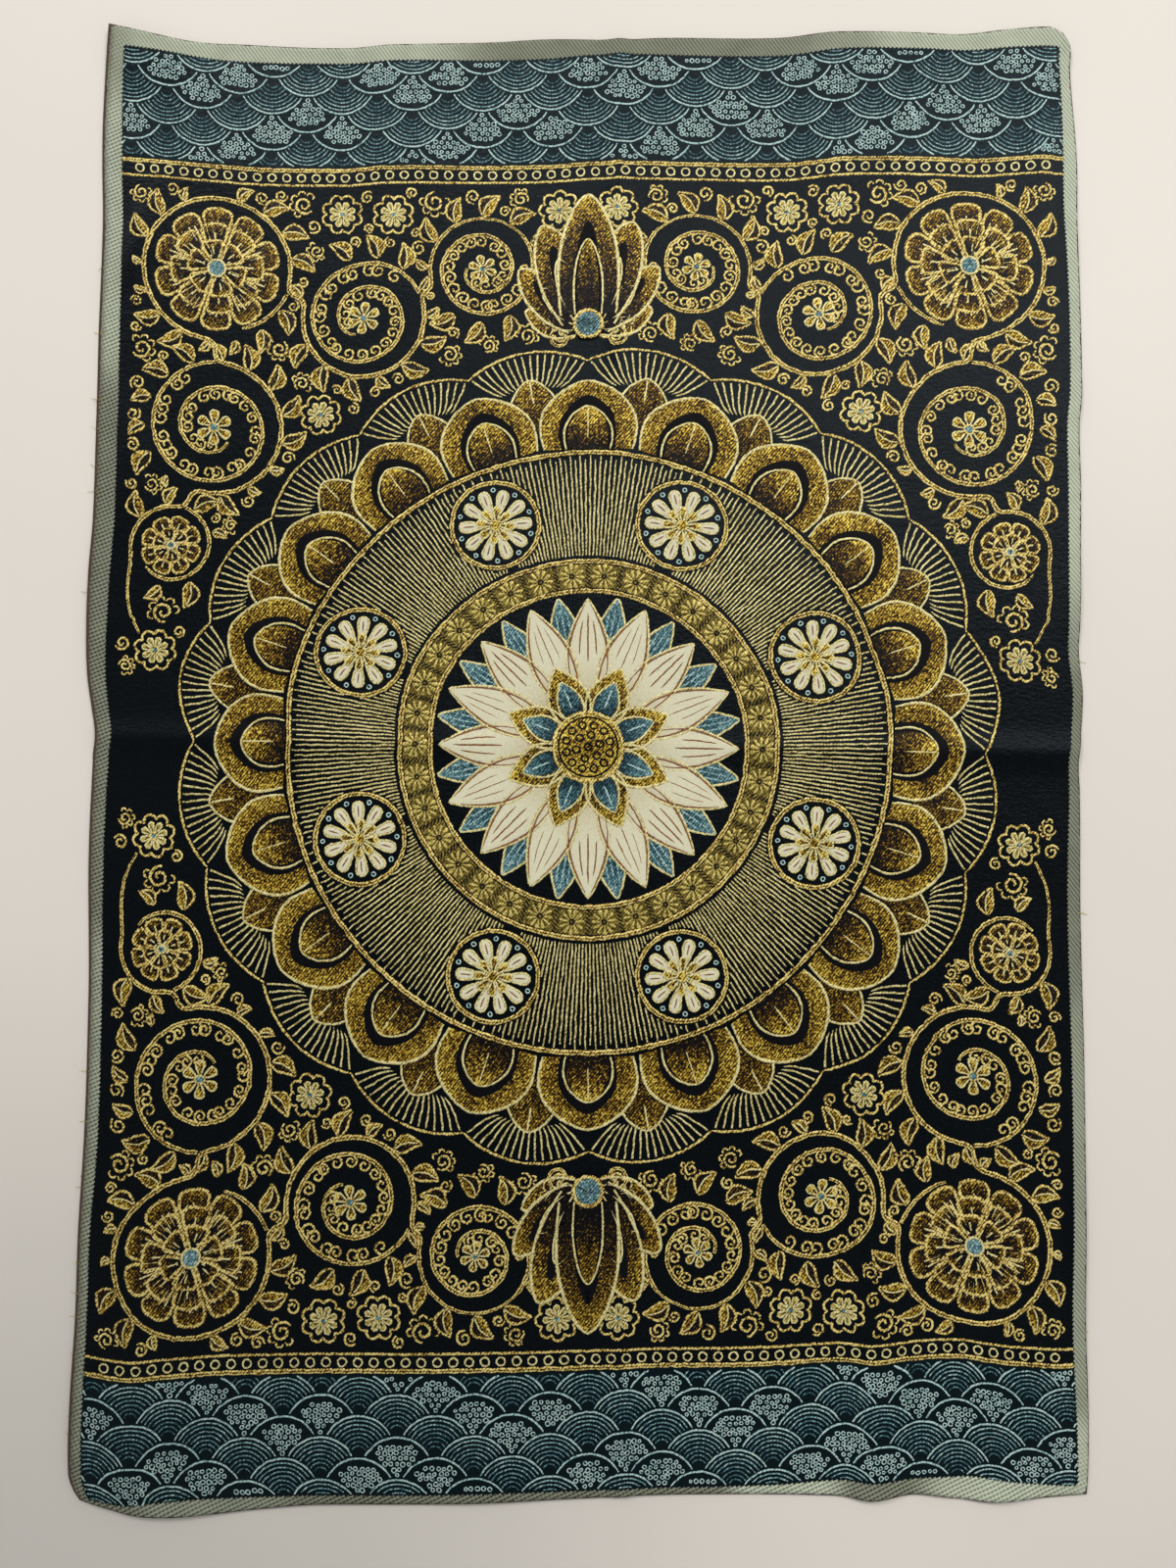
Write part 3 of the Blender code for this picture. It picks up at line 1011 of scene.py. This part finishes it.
def drawRays():
    # straight rays of pale gold, cut off where a roundel stands
    share = np.linspace(0, 1, rosette["rayPoints"])
    spots = rosette["roundelAt"] * ways(rosette["roundels"], first=rosette["roundelTurn"])
    for n, way in enumerate(ways(rosette["rays"], 0.5)):
        end = rosette["rayOuter"] - rosette["rayShorter"] * ((n + 1) % 2)
        line = way * (rosette["rayInner"] + (end - rosette["rayInner"]) * share)
        free = np.min([np.abs(line - spot) for spot in spots], axis=0) \
            > rosette["roundelRadius"] + rosette["rayGap"]
        for run in runsOf(free):
            addStroke("gilt_rays", line[run], rosette["rayWidth"], 0.0, (0.8, 0.7))


def drawRoundels():
    radius, petals = rosette["roundelRadius"], rosette["roundelPetals"]
    for k in range(rosette["roundels"]):
        turn = 360 * k / rosette["roundels"] + rosette["roundelTurn"]
        spot = rosette["roundelAt"] * unit(turn)
        addRing("gilt_vines", spot, radius, *rosette["roundelRim"])
        addFlower(spot, radius * 0.82, petals, "ivory_petals", turn, shade=ivoryShade,
                  heart="blue_petals", veins="brown_veins")
        addFlower(spot, radius * 0.42, rosette["roundelHeart"], "gilt_petals", turn + 18, 2)
        for n in range(petals):
            bead = spot + radius * 0.83 * unit(turn + 360 / petals * (n + 0.5))
            addRing("foam_rings", bead, 1.3, 1.1)


def drawArches():
    # broad petals round the rays, each a bright arch over a dark hollow and an inner petal
    count, layer = rosette["archCount"], rosette["archLayer"]
    base, tip, width = rosette["archBase"], rosette["archTip"], rosette["archWidth"]
    for way in ways(count, 0.5):
        petal = addPetal("gilt_petals", way * (base + 14), way * (tip + 4), width * 0.52,
                         "arch", shade=risingShade(0.0, 0.42))
        addVein("gilt_outlines", petal, 0.55, 0.97, 6, 1.2, 1.5, (0.3, 0.8))
    for way in ways(count):
        addPetal("gilt_petals", way * base, way * tip, width, "arch", layer=layer,
                 shade=lambda a, t: 0.18 + 0.34 * np.clip(np.abs(a) ** 2 + 0.6 * t, 0, 1),
                 edgeWidth=1.8, cells=(12, 14))
        addPetal("black_petals", way * base, way * (tip - 9), width * 0.72, "arch",
                 layer=layer + 0.8, shade=evenShade(0.2), edge=None)
        petal = addPetal("gilt_petals", way * base, way * (tip - 16), width * 0.50, "arch",
                         layer=layer + 1.6, shade=lambda a, t: -0.20 + 0.88 * t ** 0.8,
                         edgeWidth=1.4)
        addVein("gilt_outlines", petal, 0.25, 0.97, 8, 1.2, layer + 2.6, (0.3, 0.8))
    addRing("gilt_vines", 0, base - 2.0, 3.0, layer + 2.6)


def drawSkirt():
    # pleated scallops round the arches, drawn in thin pale lines
    count, pleats = rosette["archCount"], rosette["skirtPleats"]
    tip, drop = rosette["skirtTip"], rosette["skirtDrop"]
    up, swing = np.linspace(0, 1, 9), np.linspace(0, 1, 16)
    for n in range(count):
        heart = 360 * (n + 0.5) / count
        for half in (-1, 1):
            for p in range(pleats):
                share = (p + 0.5) / pleats
                lean = half * share * 180 / count
                outer = tip - 2.0 - drop * share**2
                foot = rosette["skirtFoot"] - 4.0 * share
                line = (foot + (outer - foot) * up) * unit(heart + lean * (0.55 + 0.45 * up**0.7))
                addStroke("gilt_rays", line, *rosette["pleat"], (0.4, 1.0))
            scallop = (tip - drop * swing**2) * unit(heart + half * swing * 180 / count)
            addStroke("gilt_curls", scallop, rosette["scallopWidth"])


drawRosetteBand()
drawRays()
drawRoundels()
drawArches()
drawSkirt()
drawLotus()
drawPod()
print("rosette drawn:", len(strokes), "strokes,", len(patches), "patches")


# Scrolling vines in the corners, drawn in the upper right quarter and repeated in the rest.
vines = {
    "circles": [  # x, y, radius of each turn of the vine, from the side to the top
        (256, 122, 25), (232, 198, 42), (232, 300, 46), (140, 270, 38), (66, 301, 33),
    ],
    "firstBend": [272 + 66j, 279 + 80j, 281 + 95j],
    "firstEntry": -20.0,  # degrees round the first turn where the vine comes in
    "lastAim": 14 + 346j,
    "stemWidth": 3.4,
    "start": [(277, 72, 7), (281, 88, 8), (281, 104, 8)],  # kept clear for its first bend
    "leafLength": 17.0, "shortestLeaf": 6.0,
    "leafEvery": 17.0,  # mm along the turn
    "leafLean": 42, "leafRoom": 1.4,
    "peonyGap": 7.0,  # between the vine and the flower that it holds
    "scrollTurns": (1, 3, 4),  # these turns wind inwards instead of holding a flower
    "clearOfRosette": 253.0, "clearOfSide": 287.0, "clearOfBand": 354.5,
    "clearOfMiddle": 1.5, "lowest": 40.0,
    "smallestCurl": 3.6, "largestCurl": 13.0,
    "smoothings": 14,
}
# A turn that winds inwards, with curls in its hollow.
scroll = {
    "turns": 1.62, "inner": 0.30, "curlFrom": 10.0, "curlUntil": 6.0, "curlEvery": 9.2,
    "curl": 4.4, "innerCurl": 3.9, "entryWidth": 26,
}
# The flower inside a turn: rings of scalloped petals, the outer ones underneath.
peony = {
    "rings": [(1.0, 10), (0.74, 8), (0.46, 6)],  # share of the radius, petals
    "smallRings": [(1.0, 8), (0.60, 6)],
    "smallFrom": 24.0,
    "dots": 8,
}
# A whorl that fills a gap: a small flower where there is room, otherwise a curl with lobes.
whorl = {
    "flowerFrom": 10.5, "petals": 8, "scallopReach": 96,
    "lobedFrom": 5.4, "lobes": 5, "lobePitch": 46, "lobeReach": 105,
}


def freeRoom(point, circles):
    # how far a point is from the vine's turns, the rosette, the band and the margin
    rooms = [abs(point - complex(x, y)) - radius for x, y, radius in circles]
    return min(rooms + [
        abs(point) - vines["clearOfRosette"], vines["clearOfSide"] - point.real,
        vines["clearOfBand"] - point.imag, point.real - vines["clearOfMiddle"],
        point.imag - vines["lowest"],
    ])


def smoothed(points):
    # evens out the joints between the arcs of a path
    length = lengthAlong(points)
    path = atLengths(np.linspace(0, length[-1], int(length[-1] / 1.5)), length, points)
    for turn in range(vines["smoothings"]):
        path[1:-1] = (path[:-2] + 2 * path[1:-1] + path[2:]) / 4
    return path


def drawVine():
    circles = vines["circles"]
    centres = [complex(x, y) for x, y, radius in circles]
    path = [np.array(vines["firstBend"])]
    entry = vines["firstEntry"]
    for n, (x, y, radius) in enumerate(circles):
        sense = 1 if n % 2 == 0 else -1
        ahead = centres[n + 1] if n + 1 < len(circles) else vines["lastAim"]
        leave = math.degrees(np.angle(ahead - centres[n]))
        sweep = (leave - entry) * sense % 360
        path.append(arc(centres[n], radius, entry, entry + sense * sweep))
        rest = 360 - sweep - 24
        if rest > 40 and n not in vines["scrollTurns"]:
            back = spiral(centres[n], radius, radius - 5.0, leave, sense * rest / 360)
            addStroke("gilt_vines", back, vines["stemWidth"] * 0.85, 0.0, (0.9, 0.5))
        if n in vines["scrollTurns"]:
            drawScroll(centres[n], radius, leave, sense)
        else:
            drawPeony(centres[n], radius - vines["peonyGap"], leave)
        entry = leave + 180
    addStroke("gilt_vines", smoothed(np.concatenate(path)), vines["stemWidth"], 0.0, (0.5, 0.5))


def drawScroll(centre, radius, leave, sense):
    inner = radius * scroll["inner"]
    path = spiral(centre, radius, inner, leave, sense * scroll["turns"])
    addStroke("gilt_vines", path, vines["stemWidth"] * 0.9, 0.0, (0.9, 0.7))
    length = lengthAlong(path)
    stops = np.arange(scroll["curlFrom"], length[-1] - scroll["curlUntil"], scroll["curlEvery"])
    for k, stop in enumerate(stops):
        spot = path[int(np.searchsorted(length, stop))]
        out = (spot - centre) / abs(spot - centre)
        angle = math.degrees(np.angle(out))
        size = scroll["innerCurl" if stop > length[-1] * 0.45 else "curl"]
        heart = spot - out * (size + 0.6)
        offEntry = abs(math.remainder(angle - leave, 360)) >= scroll["entryWidth"]
        if (offEntry or stop >= length[-1] * 0.3) and abs(heart - centre) >= inner * 0.9:
            curl = spiral(heart, size, 0.9, angle, sense * (1.15 if k % 2 else 1.4))
            addStroke("gilt_curls", curl, 2.0, 0.0, (0.8, 0.8))
    addFlower(centre, inner * 0.86, 6, "gilt_petals", leave, heart="blue_petals")


def foldedPetal(across, up):
    # a scalloped petal: bare ground at its foot, gold at its lip
    return -0.95 + 1.45 * np.clip(up - 0.06 * np.abs(across), 0, 1)


def drawPeony(centre, radius, turn):
    small = radius < peony["smallFrom"]
    for ring, (share, count) in enumerate(peony["smallRings" if small else "rings"]):
        reach = radius * share
        width = 2 * math.pi * reach / count * 0.86
        for n in range(count):
            way = unit(turn + 360 * (n + 0.5 * (ring % 2)) / count)
            layer = 1.5 * ring + 0.5 * (n % 2)
            petal = addPetal("gilt_petals", centre + way * reach * 0.25, centre + way * reach,
                             width, "fan", layer=layer, shade=foldedPetal, edge="gilt_curls",
                             edgeWidth=1.9 if small else 2.3, cells=(6, 7))
            for side in (-0.45, 0, 0.45) if ring == 0 and not small else (0,):
                addVein("gilt_outlines", petal, 0.36, 0.74 - 0.10 * abs(side), 7, 1.3,
                        layer + 1.2, (0.4, 0.9), side)
    heart = 2.2 * (2 if small else 3)
    addDisc("blue_petals", centre, 0.2, radius * 0.13, evenShade(0.62), heart, 16, 2)
    addRing("gilt_outlines", centre, radius * 0.14, 1.6, heart + 1)
    for way in ways(peony["dots"], first=turn):
        addRing("gilt_outlines", centre + radius * 0.22 * way, 0.8, 1.3, heart)


def halfLitLeaf(across, up):
    # a leaf whose one half lies in shade
    return -0.20 + 0.66 / (1 + np.exp(-7 * across)) + 0.16 * up


def drawLeaves():
    # leaves outside each turn, as long as there is room for
    circles = vines["circles"]
    leaves = []
    for n, (x, y, radius) in enumerate(circles):
        sense = 1 if n % 2 == 0 else -1
        others = circles[:n] + circles[n + 1:] + vines["start"]
        count = int(2 * math.pi * radius / vines["leafEvery"])
        for k in range(count):
            turn = 360 * k / count
            foot = complex(x, y) + (radius + 1.5) * unit(turn)
            way = unit(turn + sense * vines["leafLean"])
            room = 0.0
            while room < vines["leafLength"] and \
                    freeRoom(foot + way * (room + 2.0), others + leaves) > vines["leafRoom"]:
                room += 0.5
            if room < vines["shortestLeaf"]:
                continue
            petal = addPetal("gilt_petals", foot, foot + way * room, room * 0.56, "leaf",
                             bend=-sense * room * 0.16, edge="gilt_curls", edgeWidth=1.7,
                             shade=halfLitLeaf, cells=(5, 7))
            addVein("gilt_outlines", petal, 0.05, 0.85, 7, 1.1, 1.3, (0.8, 0.4))
            for share, breadth in ((0.35, 0.36), (0.72, 0.28)):
                spot = foot + way * room * share
                leaves.append((spot.real, spot.imag, room * breadth))
    return leaves


def drawWhorl(centre, radius, turn, sense):
    if radius > whorl["flowerFrom"]:
        addFlower(centre, radius * 0.62, whorl["petals"], "gilt_flowers", turn,
                  heart="blue_petals")
        for n in range(whorl["petals"]):
            angle = turn + 360 / whorl["petals"] * n
            scallop = arc(centre + radius * 0.70 * unit(angle), radius * 0.28,
                          angle - whorl["scallopReach"], angle + whorl["scallopReach"])
            addStroke("gilt_curls", scallop, 2.1)
        return
    lobed = radius > whorl["lobedFrom"]
    curl = radius * (0.66 if lobed else 0.90)
    addStroke("gilt_curls", spiral(centre, curl, curl * 0.2, turn, sense * 1.4),
              2.4 if radius > 8 else 2.0, 0.0, (0.7, 0.8))
    for n in range(whorl["lobes"] if lobed else 0):
        angle = turn + 180 + sense * (n - 2) * whorl["lobePitch"]
        lobe = arc(centre + radius * 0.76 * unit(angle), radius * 0.25,
                   angle - whorl["lobeReach"], angle + whorl["lobeReach"])
        addStroke("gilt_curls", lobe, 1.8)


def drawFillers(leaves):
    # whorls and small flowers in the room that is left, the widest place first
    taken = [(x, y, radius + 2.6) for x, y, radius in vines["circles"]]
    taken += leaves + vines["start"]
    spots = [complex(x, y) for x in np.arange(4, 284, 2.0) for y in np.arange(44, 352, 2.0)]
    spots = [spot for spot in spots if abs(spot) > vines["clearOfRosette"]]
    count = 0
    while True:
        rooms = [freeRoom(spot, taken) for spot in spots]
        best = int(np.argmax(rooms))
        radius = min(rooms[best], vines["largestCurl"])
        if radius < vines["smallestCurl"]:
            break
        spot = spots[best]
        taken.append((spot.real, spot.imag, radius + 1.2))
        spots = [other for other, room in zip(spots, rooms) if room > vines["smallestCurl"]]
        turn = math.degrees(np.angle(spot)) + 137 * count
        drawWhorl(spot, radius, turn, 1 if count % 2 else -1)
        count += 1
    print("leaves and whorls in a quarter:", len(leaves) // 2, count)


# The lotus bud at the top of the middle line, drawn as a half that the mirror completes.
palmette = {
    "foot": 264j,
    "petals": [(14, 40), (40, 56), (66, 70), (90, 82)],  # direction, length
    # one petal in another: yarn, share of the length, breadth, its outline
    "nested": [("gilt_petals", 1.0, 0.46, "gilt_outlines"), ("black_petals", 0.80, 0.30, None),
               ("gilt_petals", 0.66, 0.22, "gilt_outlines")],
    "petalLayers": 2.2, "nestLayers": 0.30, "heart": 8, "heartLayer": 9.6,
}


def drawPalmette():
    foot = palmette["foot"]
    for n, (turn, length) in enumerate(palmette["petals"]):
        way = unit(turn)
        for nest, (kind, share, breadth, edge) in enumerate(palmette["nested"]):
            addPetal(kind, foot + way * 6, foot + way * length * share, length * breadth,
                     "arch", bend=(turn - 90) * 0.05 * share, edge=edge,
                     layer=n * palmette["petalLayers"] + nest * palmette["nestLayers"],
                     shade=lambda a, t: -0.42 + 0.92 * t + 0.12 * np.abs(a),
                     edgeWidth=1.9 - 0.2 * nest)
    addStroke("gilt_vines", spiral(complex(17, 256), 8, 2.0, 150, -1.2), 2.4)
    heart, layer = palmette["heart"], palmette["heartLayer"]
    addDisc("blue_petals", foot, 0.2, heart, evenShade(0.6), layer, 24, 3)
    addRing("gilt_curls", foot, heart + 0.5, 2.4, layer)


def repeatInFour(strokesFrom, patchesFrom):
    # mirrors what was drawn since then across both middle lines
    flips = [lambda p: -np.conj(p), lambda p: np.conj(p), lambda p: -p]
    newStrokes, newPatches = strokes[strokesFrom:], patches[patchesFrom:]
    for flip in flips:
        for line in newStrokes:
            strokes.append(dict(line, points=flip(line["points"])))
        for patch in newPatches:
            patches.append(dict(patch, place=lambda a, t, f=flip, p=patch["place"]: f(p(a, t))))


drawnStrokes, drawnPatches = len(strokes), len(patches)
drawVine()
drawFillers(drawLeaves())
drawPalmette()
repeatInFour(drawnStrokes, drawnPatches)


# Wave bands at both ends: rows of scales, some of arcs and some full of foam rings.
waves = {
    "inner": 369.0, "outer": 437.0, "halfWidth": 291.6,
    "radius": 22.0,
    "rowPitch": 12.0,
    "arcs": [21.0, 18.6, 16.2, 13.8, 11.4, 9.0, 6.6, 4.2],
    "arcWidth": 1.3,
    "foamPitch": 3.5, "foamRadius": 1.25, "foamWidth": 1.05,
    "foamInset": 3.4, "foamRoom": 1.5, "foamAstray": 0.25,
    "beadPitch": 9.2, "beadRadius": 2.6,
    "goldLine": 366.5, "beadLine": 361.6, "fineLine": 356.8,  # mm up the field
    "lineLayer": 0.3125,
}


def scaleCentre(row, column):
    # rows climb from the outer edge inwards; each is shifted by half a scale
    shift = waves["radius"] * (row % 2)
    return complex(column * 2 * waves["radius"] + shift, waves["outer"] - row * waves["rowPitch"])


def behindOthers(points, row):
    # true where a nearer row of scales covers the point
    hidden = np.zeros(len(points), dtype=bool)
    for nearer in (row - 1, row - 2, row - 3):
        for column in range(-9, 9):
            hidden |= np.abs(points - scaleCentre(nearer, column)) < waves["radius"]
    return hidden


def inBand(points):
    return (points.imag > waves["inner"]) & (points.imag < waves["outer"] - 1.0) \
        & (np.abs(points.real) < waves["halfWidth"])


def drawFoam(centre, row):
    pitch, room = waves["foamPitch"], waves["foamRoom"]
    for j in range(-6, 7):
        for i in range(-6, 7):
            spot = centre + complex(pitch * (i + 0.5 * (j % 2)), pitch * 0.87 * j)
            spot += waves["foamAstray"] * complex(chance.normal(), chance.normal())
            if abs(spot - centre) > waves["arcs"][0] - waves["foamInset"]:
                continue
            probe = np.array([spot, spot + room, spot - room, spot + room * 1j, spot - room * 1j])
            if behindOthers(probe, row).any() or not inBand(probe).all():
                continue
            radius = waves["foamRadius"] * chance.uniform(0.75, 1.15)
            addRing("foam_rings", spot, radius, waves["foamWidth"])


def drawWaves():
    rows = int((waves["outer"] - waves["inner"]) / waves["rowPitch"]) + 2
    for row in range(-1, rows):
        for column in range(-8, 8):
            centre = scaleCentre(row, column)
            foam = (row * 2 + 3 * column) % 9 < 4
            for n, radius in enumerate(waves["arcs"][:1 if foam else None]):
                line = arc(centre, radius, -180, 0)
                wider, tone = (1.3, 1.3) if n == 0 else (1.0, 1.08 - 0.07 * n)
                for run in runsOf(~behindOthers(line, row) & inBand(line)):
                    addStroke("blue_waves", line[run], waves["arcWidth"] * wider, 0.0,
                              (0.7, 0.7), tone=tone)
            if foam:
                drawFoam(centre, row)


def drawBandEdge():
    # a gold line, a fine one and a row of beads between them, along the band
    line = np.linspace(-waves["halfWidth"], waves["halfWidth"], 300)
    for kind, up, width in (("gilt_vines", "goldLine", 3.0), ("gilt_curls", "fineLine", 1.8)):
        addStroke(kind, line + waves[up] * 1j, width, waves["lineLayer"], (1, 1))
    count = int(waves["halfWidth"] / waves["beadPitch"])
    for n in range(-count, count):
        bead = complex((n + 0.5) * waves["beadPitch"], waves["beadLine"])
        addRing("gilt_outlines", bead, waves["beadRadius"], 1.5)


drawnStrokes = len(strokes)
drawWaves()
drawBandEdge()
for line in strokes[drawnStrokes:]:
    strokes.append(dict(line, points=np.conj(line["points"])))
print("whole pattern:", len(strokes), "strokes,", len(patches), "patches")


# From the drawing to raised floats.

def evenlySpaced(points, step, closed):
    # points a stitch apart, and how far along the line each is, as a share
    if closed:
        points = np.append(points, points[0])
    length = lengthAlong(points)
    even = np.linspace(0, length[-1], max(3, int(math.ceil(length[-1] / step)) + 1))
    last = -1 if closed else None
    return atLengths(even, length, points)[:last], (even / length[-1])[:last]


def layOnCloth(mesh):
    # from the flat pattern, in millimetres, to its place on the cloth's face
    u, v, lift = placesOf(mesh)
    x, y, height = wovenPlace(u, v)
    setPlaces(mesh, x, y, height + cloth["thickness"] + lift)


def fillSpline(curve, places, radius, closed=False):
    spline = curve.splines.new("POLY")
    spline.points.add(len(radius) - 1)
    spline.use_cyclic_u = closed
    spline.points.foreach_set("co", np.stack([*places, np.ones(len(radius))], axis=1).ravel())
    spline.points.foreach_set("radius", radius)


def strokeProfile(kind):
    profile = bpy.data.curves.new(kind + " profile", "CURVE")
    profile.dimensions = "2D"
    across, height, shade = np.array(strokeKinds[kind]["profile"], dtype=float).T
    fillSpline(profile, (across, height, 0 * across), np.ones(len(across)))
    return newObject(kind + " profile", profile)


def makeStrokes(kind):
    look = strokeKinds[kind]
    curve = bpy.data.curves.new(kind, "CURVE")
    curve.dimensions = "3D"
    curve.twist_mode = "Z_UP"
    curve.bevel_mode = "OBJECT"
    curve.bevel_object = strokeProfile(kind)
    taper = stitches["taper"]
    tones = []
    for line in [line for line in strokes if line["kind"] == kind]:
        points, share = evenlySpaced(line["points"], look["step"], line["closed"])
        count = len(points)
        points = points + look["jitter"] * (chance.normal(size=count)
                                            + 1j * chance.normal(size=count))
        start, end = line["ends"]
        radius = line["width"] / 2 * np.interp(share, [0, taper, 1 - taper, 1], [start, 1, 1, end])
        radius *= 1 + stitches["thicknessVaries"] * chance.normal(size=count)
        height = np.full(count, line["layer"] * stitches["layer"])
        fillSpline(curve, (points.real, points.imag, height), radius, line["closed"])
        tones.append(np.full(count, line["tone"]))
    mesh = meshOfCurve(kind, curve)
    bpy.data.objects.remove(curve.bevel_object)
    shades = np.array([corner[2] for corner in look["profile"]])
    tones = np.concatenate(tones)
    assert len(mesh.vertices) == len(tones) * len(shades), kind
    setAttribute(mesh, "shade", (tones[:, None] * shades[None, :]).ravel())
    layOnCloth(mesh)
    return finishYarns(kind, mesh, look["yarn"])


def makePatches(kind):
    fill = bmesh.new()
    shadeLayer = fill.verts.layers.float.new("shade")
    layer, edgeDrop = stitches["layer"], stitches["edgeDrop"]
    for patch in [patch for patch in patches if patch["kind"] == kind]:
        cellsAcross, cellsUp = patch["cells"]
        made = bmesh.ops.create_grid(fill, x_segments=cellsAcross, y_segments=cellsUp, size=0.5)
        grid = np.array([vert.co[:] for vert in made["verts"]])
        across, up = grid[:, 0] * 2, grid[:, 1] + 0.5
        place = patch["place"](across, up)
        shade = patch["shade"](across, up)
        inside = 1 - np.abs(across) ** 6
        height = patch["layer"] * layer - edgeDrop + (layer + edgeDrop) * inside
        for vert, spot, lift, value in zip(made["verts"], place, height, shade):
            vert.co = (spot.real, spot.imag, lift)
            vert[shadeLayer] = value
    fill.normal_update()
    bmesh.ops.reverse_faces(fill, faces=[face for face in fill.faces if face.normal.z < 0])
    mesh = newMesh(kind, fill)
    layOnCloth(mesh)
    return finishYarns(kind, mesh, patchKinds[kind])


motifs = [makePatches(kind) for kind in patchKinds] + [makeStrokes(kind) for kind in strokeKinds]
for motif in motifs:
    print(motif.name, len(motif.data.polygons) * 2, "triangles")


# Loose yarn ends at the cut sides.
looseEnds = {
    "count": 22, "leftShare": 0.75, "radius": 0.18, "shortest": 1.5, "longest": 5.0,
    "reach": 430, "inset": 1.5, "sag": 2.0, "points": 6, "narrowing": 0.4,
}


def makeEdgeYarns():
    curve = bpy.data.curves.new("edge_yarns", "CURVE")
    curve.dimensions = "3D"
    curve.bevel_depth = looseEnds["radius"] * mm
    curve.bevel_resolution = 1
    curve.use_fill_caps = True
    share = np.linspace(0, 1, looseEnds["points"])
    for n in range(looseEnds["count"]):
        side = -1 if chance.random() < looseEnds["leftShare"] else 1
        y = chance.uniform(-looseEnds["reach"], looseEnds["reach"])
        length = chance.uniform(looseEnds["shortest"], looseEnds["longest"])
        sag = chance.uniform(-looseEnds["sag"], looseEnds["sag"])
        inset = looseEnds["inset"]
        x = side * (cloth["halfWidth"] - inset + (length + inset) * share)
        px, py, pz = clothPlace(x, y + sag * share**2)
        height = (pz + 0.55) * (1 - share) ** 1.5 + 0.3
        fillSpline(curve, (px * mm, py * mm, height * mm), 1 - looseEnds["narrowing"] * share)
    mesh = meshOfCurve("edge_yarns", curve)
    setAttribute(mesh, "shade", np.full(len(mesh.vertices), 0.8))
    return finishYarns("edge_yarns", mesh, "giltWeft")


edgeYarns = makeEdgeYarns()


# Floor, light and camera.
studio = {
    "floorSize": 14.0,
    "floorDrop": 0.0003,
    "floorColour": (0.76, 0.72, 0.66),
    "roomHigh": (0.30, 0.30, 0.31),  # the soft room: dim overhead, bright at its walls
    "roomLow": (0.95, 0.94, 0.92),
    "roomStrength": 0.87,
    "lampColour": (1.0, 0.975, 0.94),
}
lamps = [
    # name, place in metres, aimed at, size, watts, whether it lights and whether it glints
    ("ceiling", (1.35, 1.5, 2.6), (0.0, 0.1, 0.0), 1.2, 51, True, True),
    ("far", (-2.2, 2.8, 3.0), (0.0, 0.1, 0.0), 1.4, 72, True, False),
    ("window", (-1.9, 4.0, 2.9), (0.0, 0.3, 0.0), 1.2, 105, False, True),
]
# A dark disc round the camera, out of its sight, that shades the middle of the cloth.
hood = {
    "place": (0.05, -0.06, 0.62), "radii": (0.25, 0.22, 0.04), "colour": (0.03, 0.03, 0.03),
}
view = {
    "place": (0.0, -56.8, 714.2),  # over the cloth, mm
    "tilt": math.atan(0.048),
    "lens": 27.0,
    "filmHeight": 36.0,
}


def stagePiece(name, shape, material):
    mesh = newMesh(name, shape)
    mesh.materials.append(material)
    piece = newObject(name, mesh)
    return piece


def makeFloor():
    slab = bmesh.new()
    bmesh.ops.create_grid(slab, x_segments=1, y_segments=1, size=studio["floorSize"] / 2)
    bmesh.ops.translate(slab, verts=slab.verts, vec=(0, 0, -studio["floorDrop"]))
    material, tree, shader = newMaterial("paleFloor", {
        "Roughness": 0.45, "Specular IOR Level": 0.2,
    })
    low = tuple(0.96 * channel for channel in studio["floorColour"])
    feed(tree, shader.inputs["Base Color"],
         ramp(tree, noise(tree, 3.0, 3.0), [(0.3, low), (0.7, studio["floorColour"])]))
    stagePiece("floor", slab, material)


def makeHood():
    disc = bmesh.new()
    bmesh.ops.create_uvsphere(disc, u_segments=32, v_segments=16, radius=1.0)
    bmesh.ops.scale(disc, verts=disc.verts, vec=hood["radii"])
    bmesh.ops.translate(disc, verts=disc.verts, vec=hood["place"])
    material, tree, shader = newMaterial("darkShade", {
        "Base Color": hood["colour"], "Roughness": 0.9,
    })
    stagePiece("camera shade", disc, material).visible_camera = False


def makeLights():
    world = bpy.data.worlds.new("soft room")
    world.use_nodes = True
    tree = world.node_tree
    background = tree.nodes["Background"]
    split = tree.nodes.new("ShaderNodeSeparateXYZ")
    feed(tree, split.inputs[0], tree.nodes.new("ShaderNodeTexCoord").outputs["Generated"])
    sky = ramp(tree, split.outputs[2], [(0.15, studio["roomLow"]), (0.85, studio["roomHigh"])])
    feed(tree, background.inputs["Color"], sky)
    feed(tree, background.inputs["Strength"], studio["roomStrength"])
    scene.world = world
    for name, place, target, size, watts, lights, glints in lamps:
        light = bpy.data.lights.new(name, "AREA")
        light.shape = "DISK"
        light.size = size
        light.energy = watts
        light.color = studio["lampColour"]
        lamp = newObject(name, light)
        lamp.location = place
        aim = Vector(target) - Vector(place)
        lamp.rotation_euler = aim.to_track_quat("-Z", "Y").to_euler()
        lamp.visible_diffuse = lights
        lamp.visible_glossy = glints


def makeCamera():
    camera = bpy.data.cameras.new("camera")
    camera.lens = view["lens"]
    camera.sensor_fit = "VERTICAL"
    camera.sensor_height = view["filmHeight"]
    camera.clip_start = 0.01
    stand = newObject("camera", camera)
    x, y, z = view["place"]
    stand.location = ((x + shiftX) * mm, (y + shiftY) * mm, z * mm)
    stand.rotation_euler = (view["tilt"], 0, 0)
    scene.camera = stand
    scene.view_settings.view_transform = "Standard"


makeFloor()
makeHood()
makeLights()
makeCamera()
print("studio set")
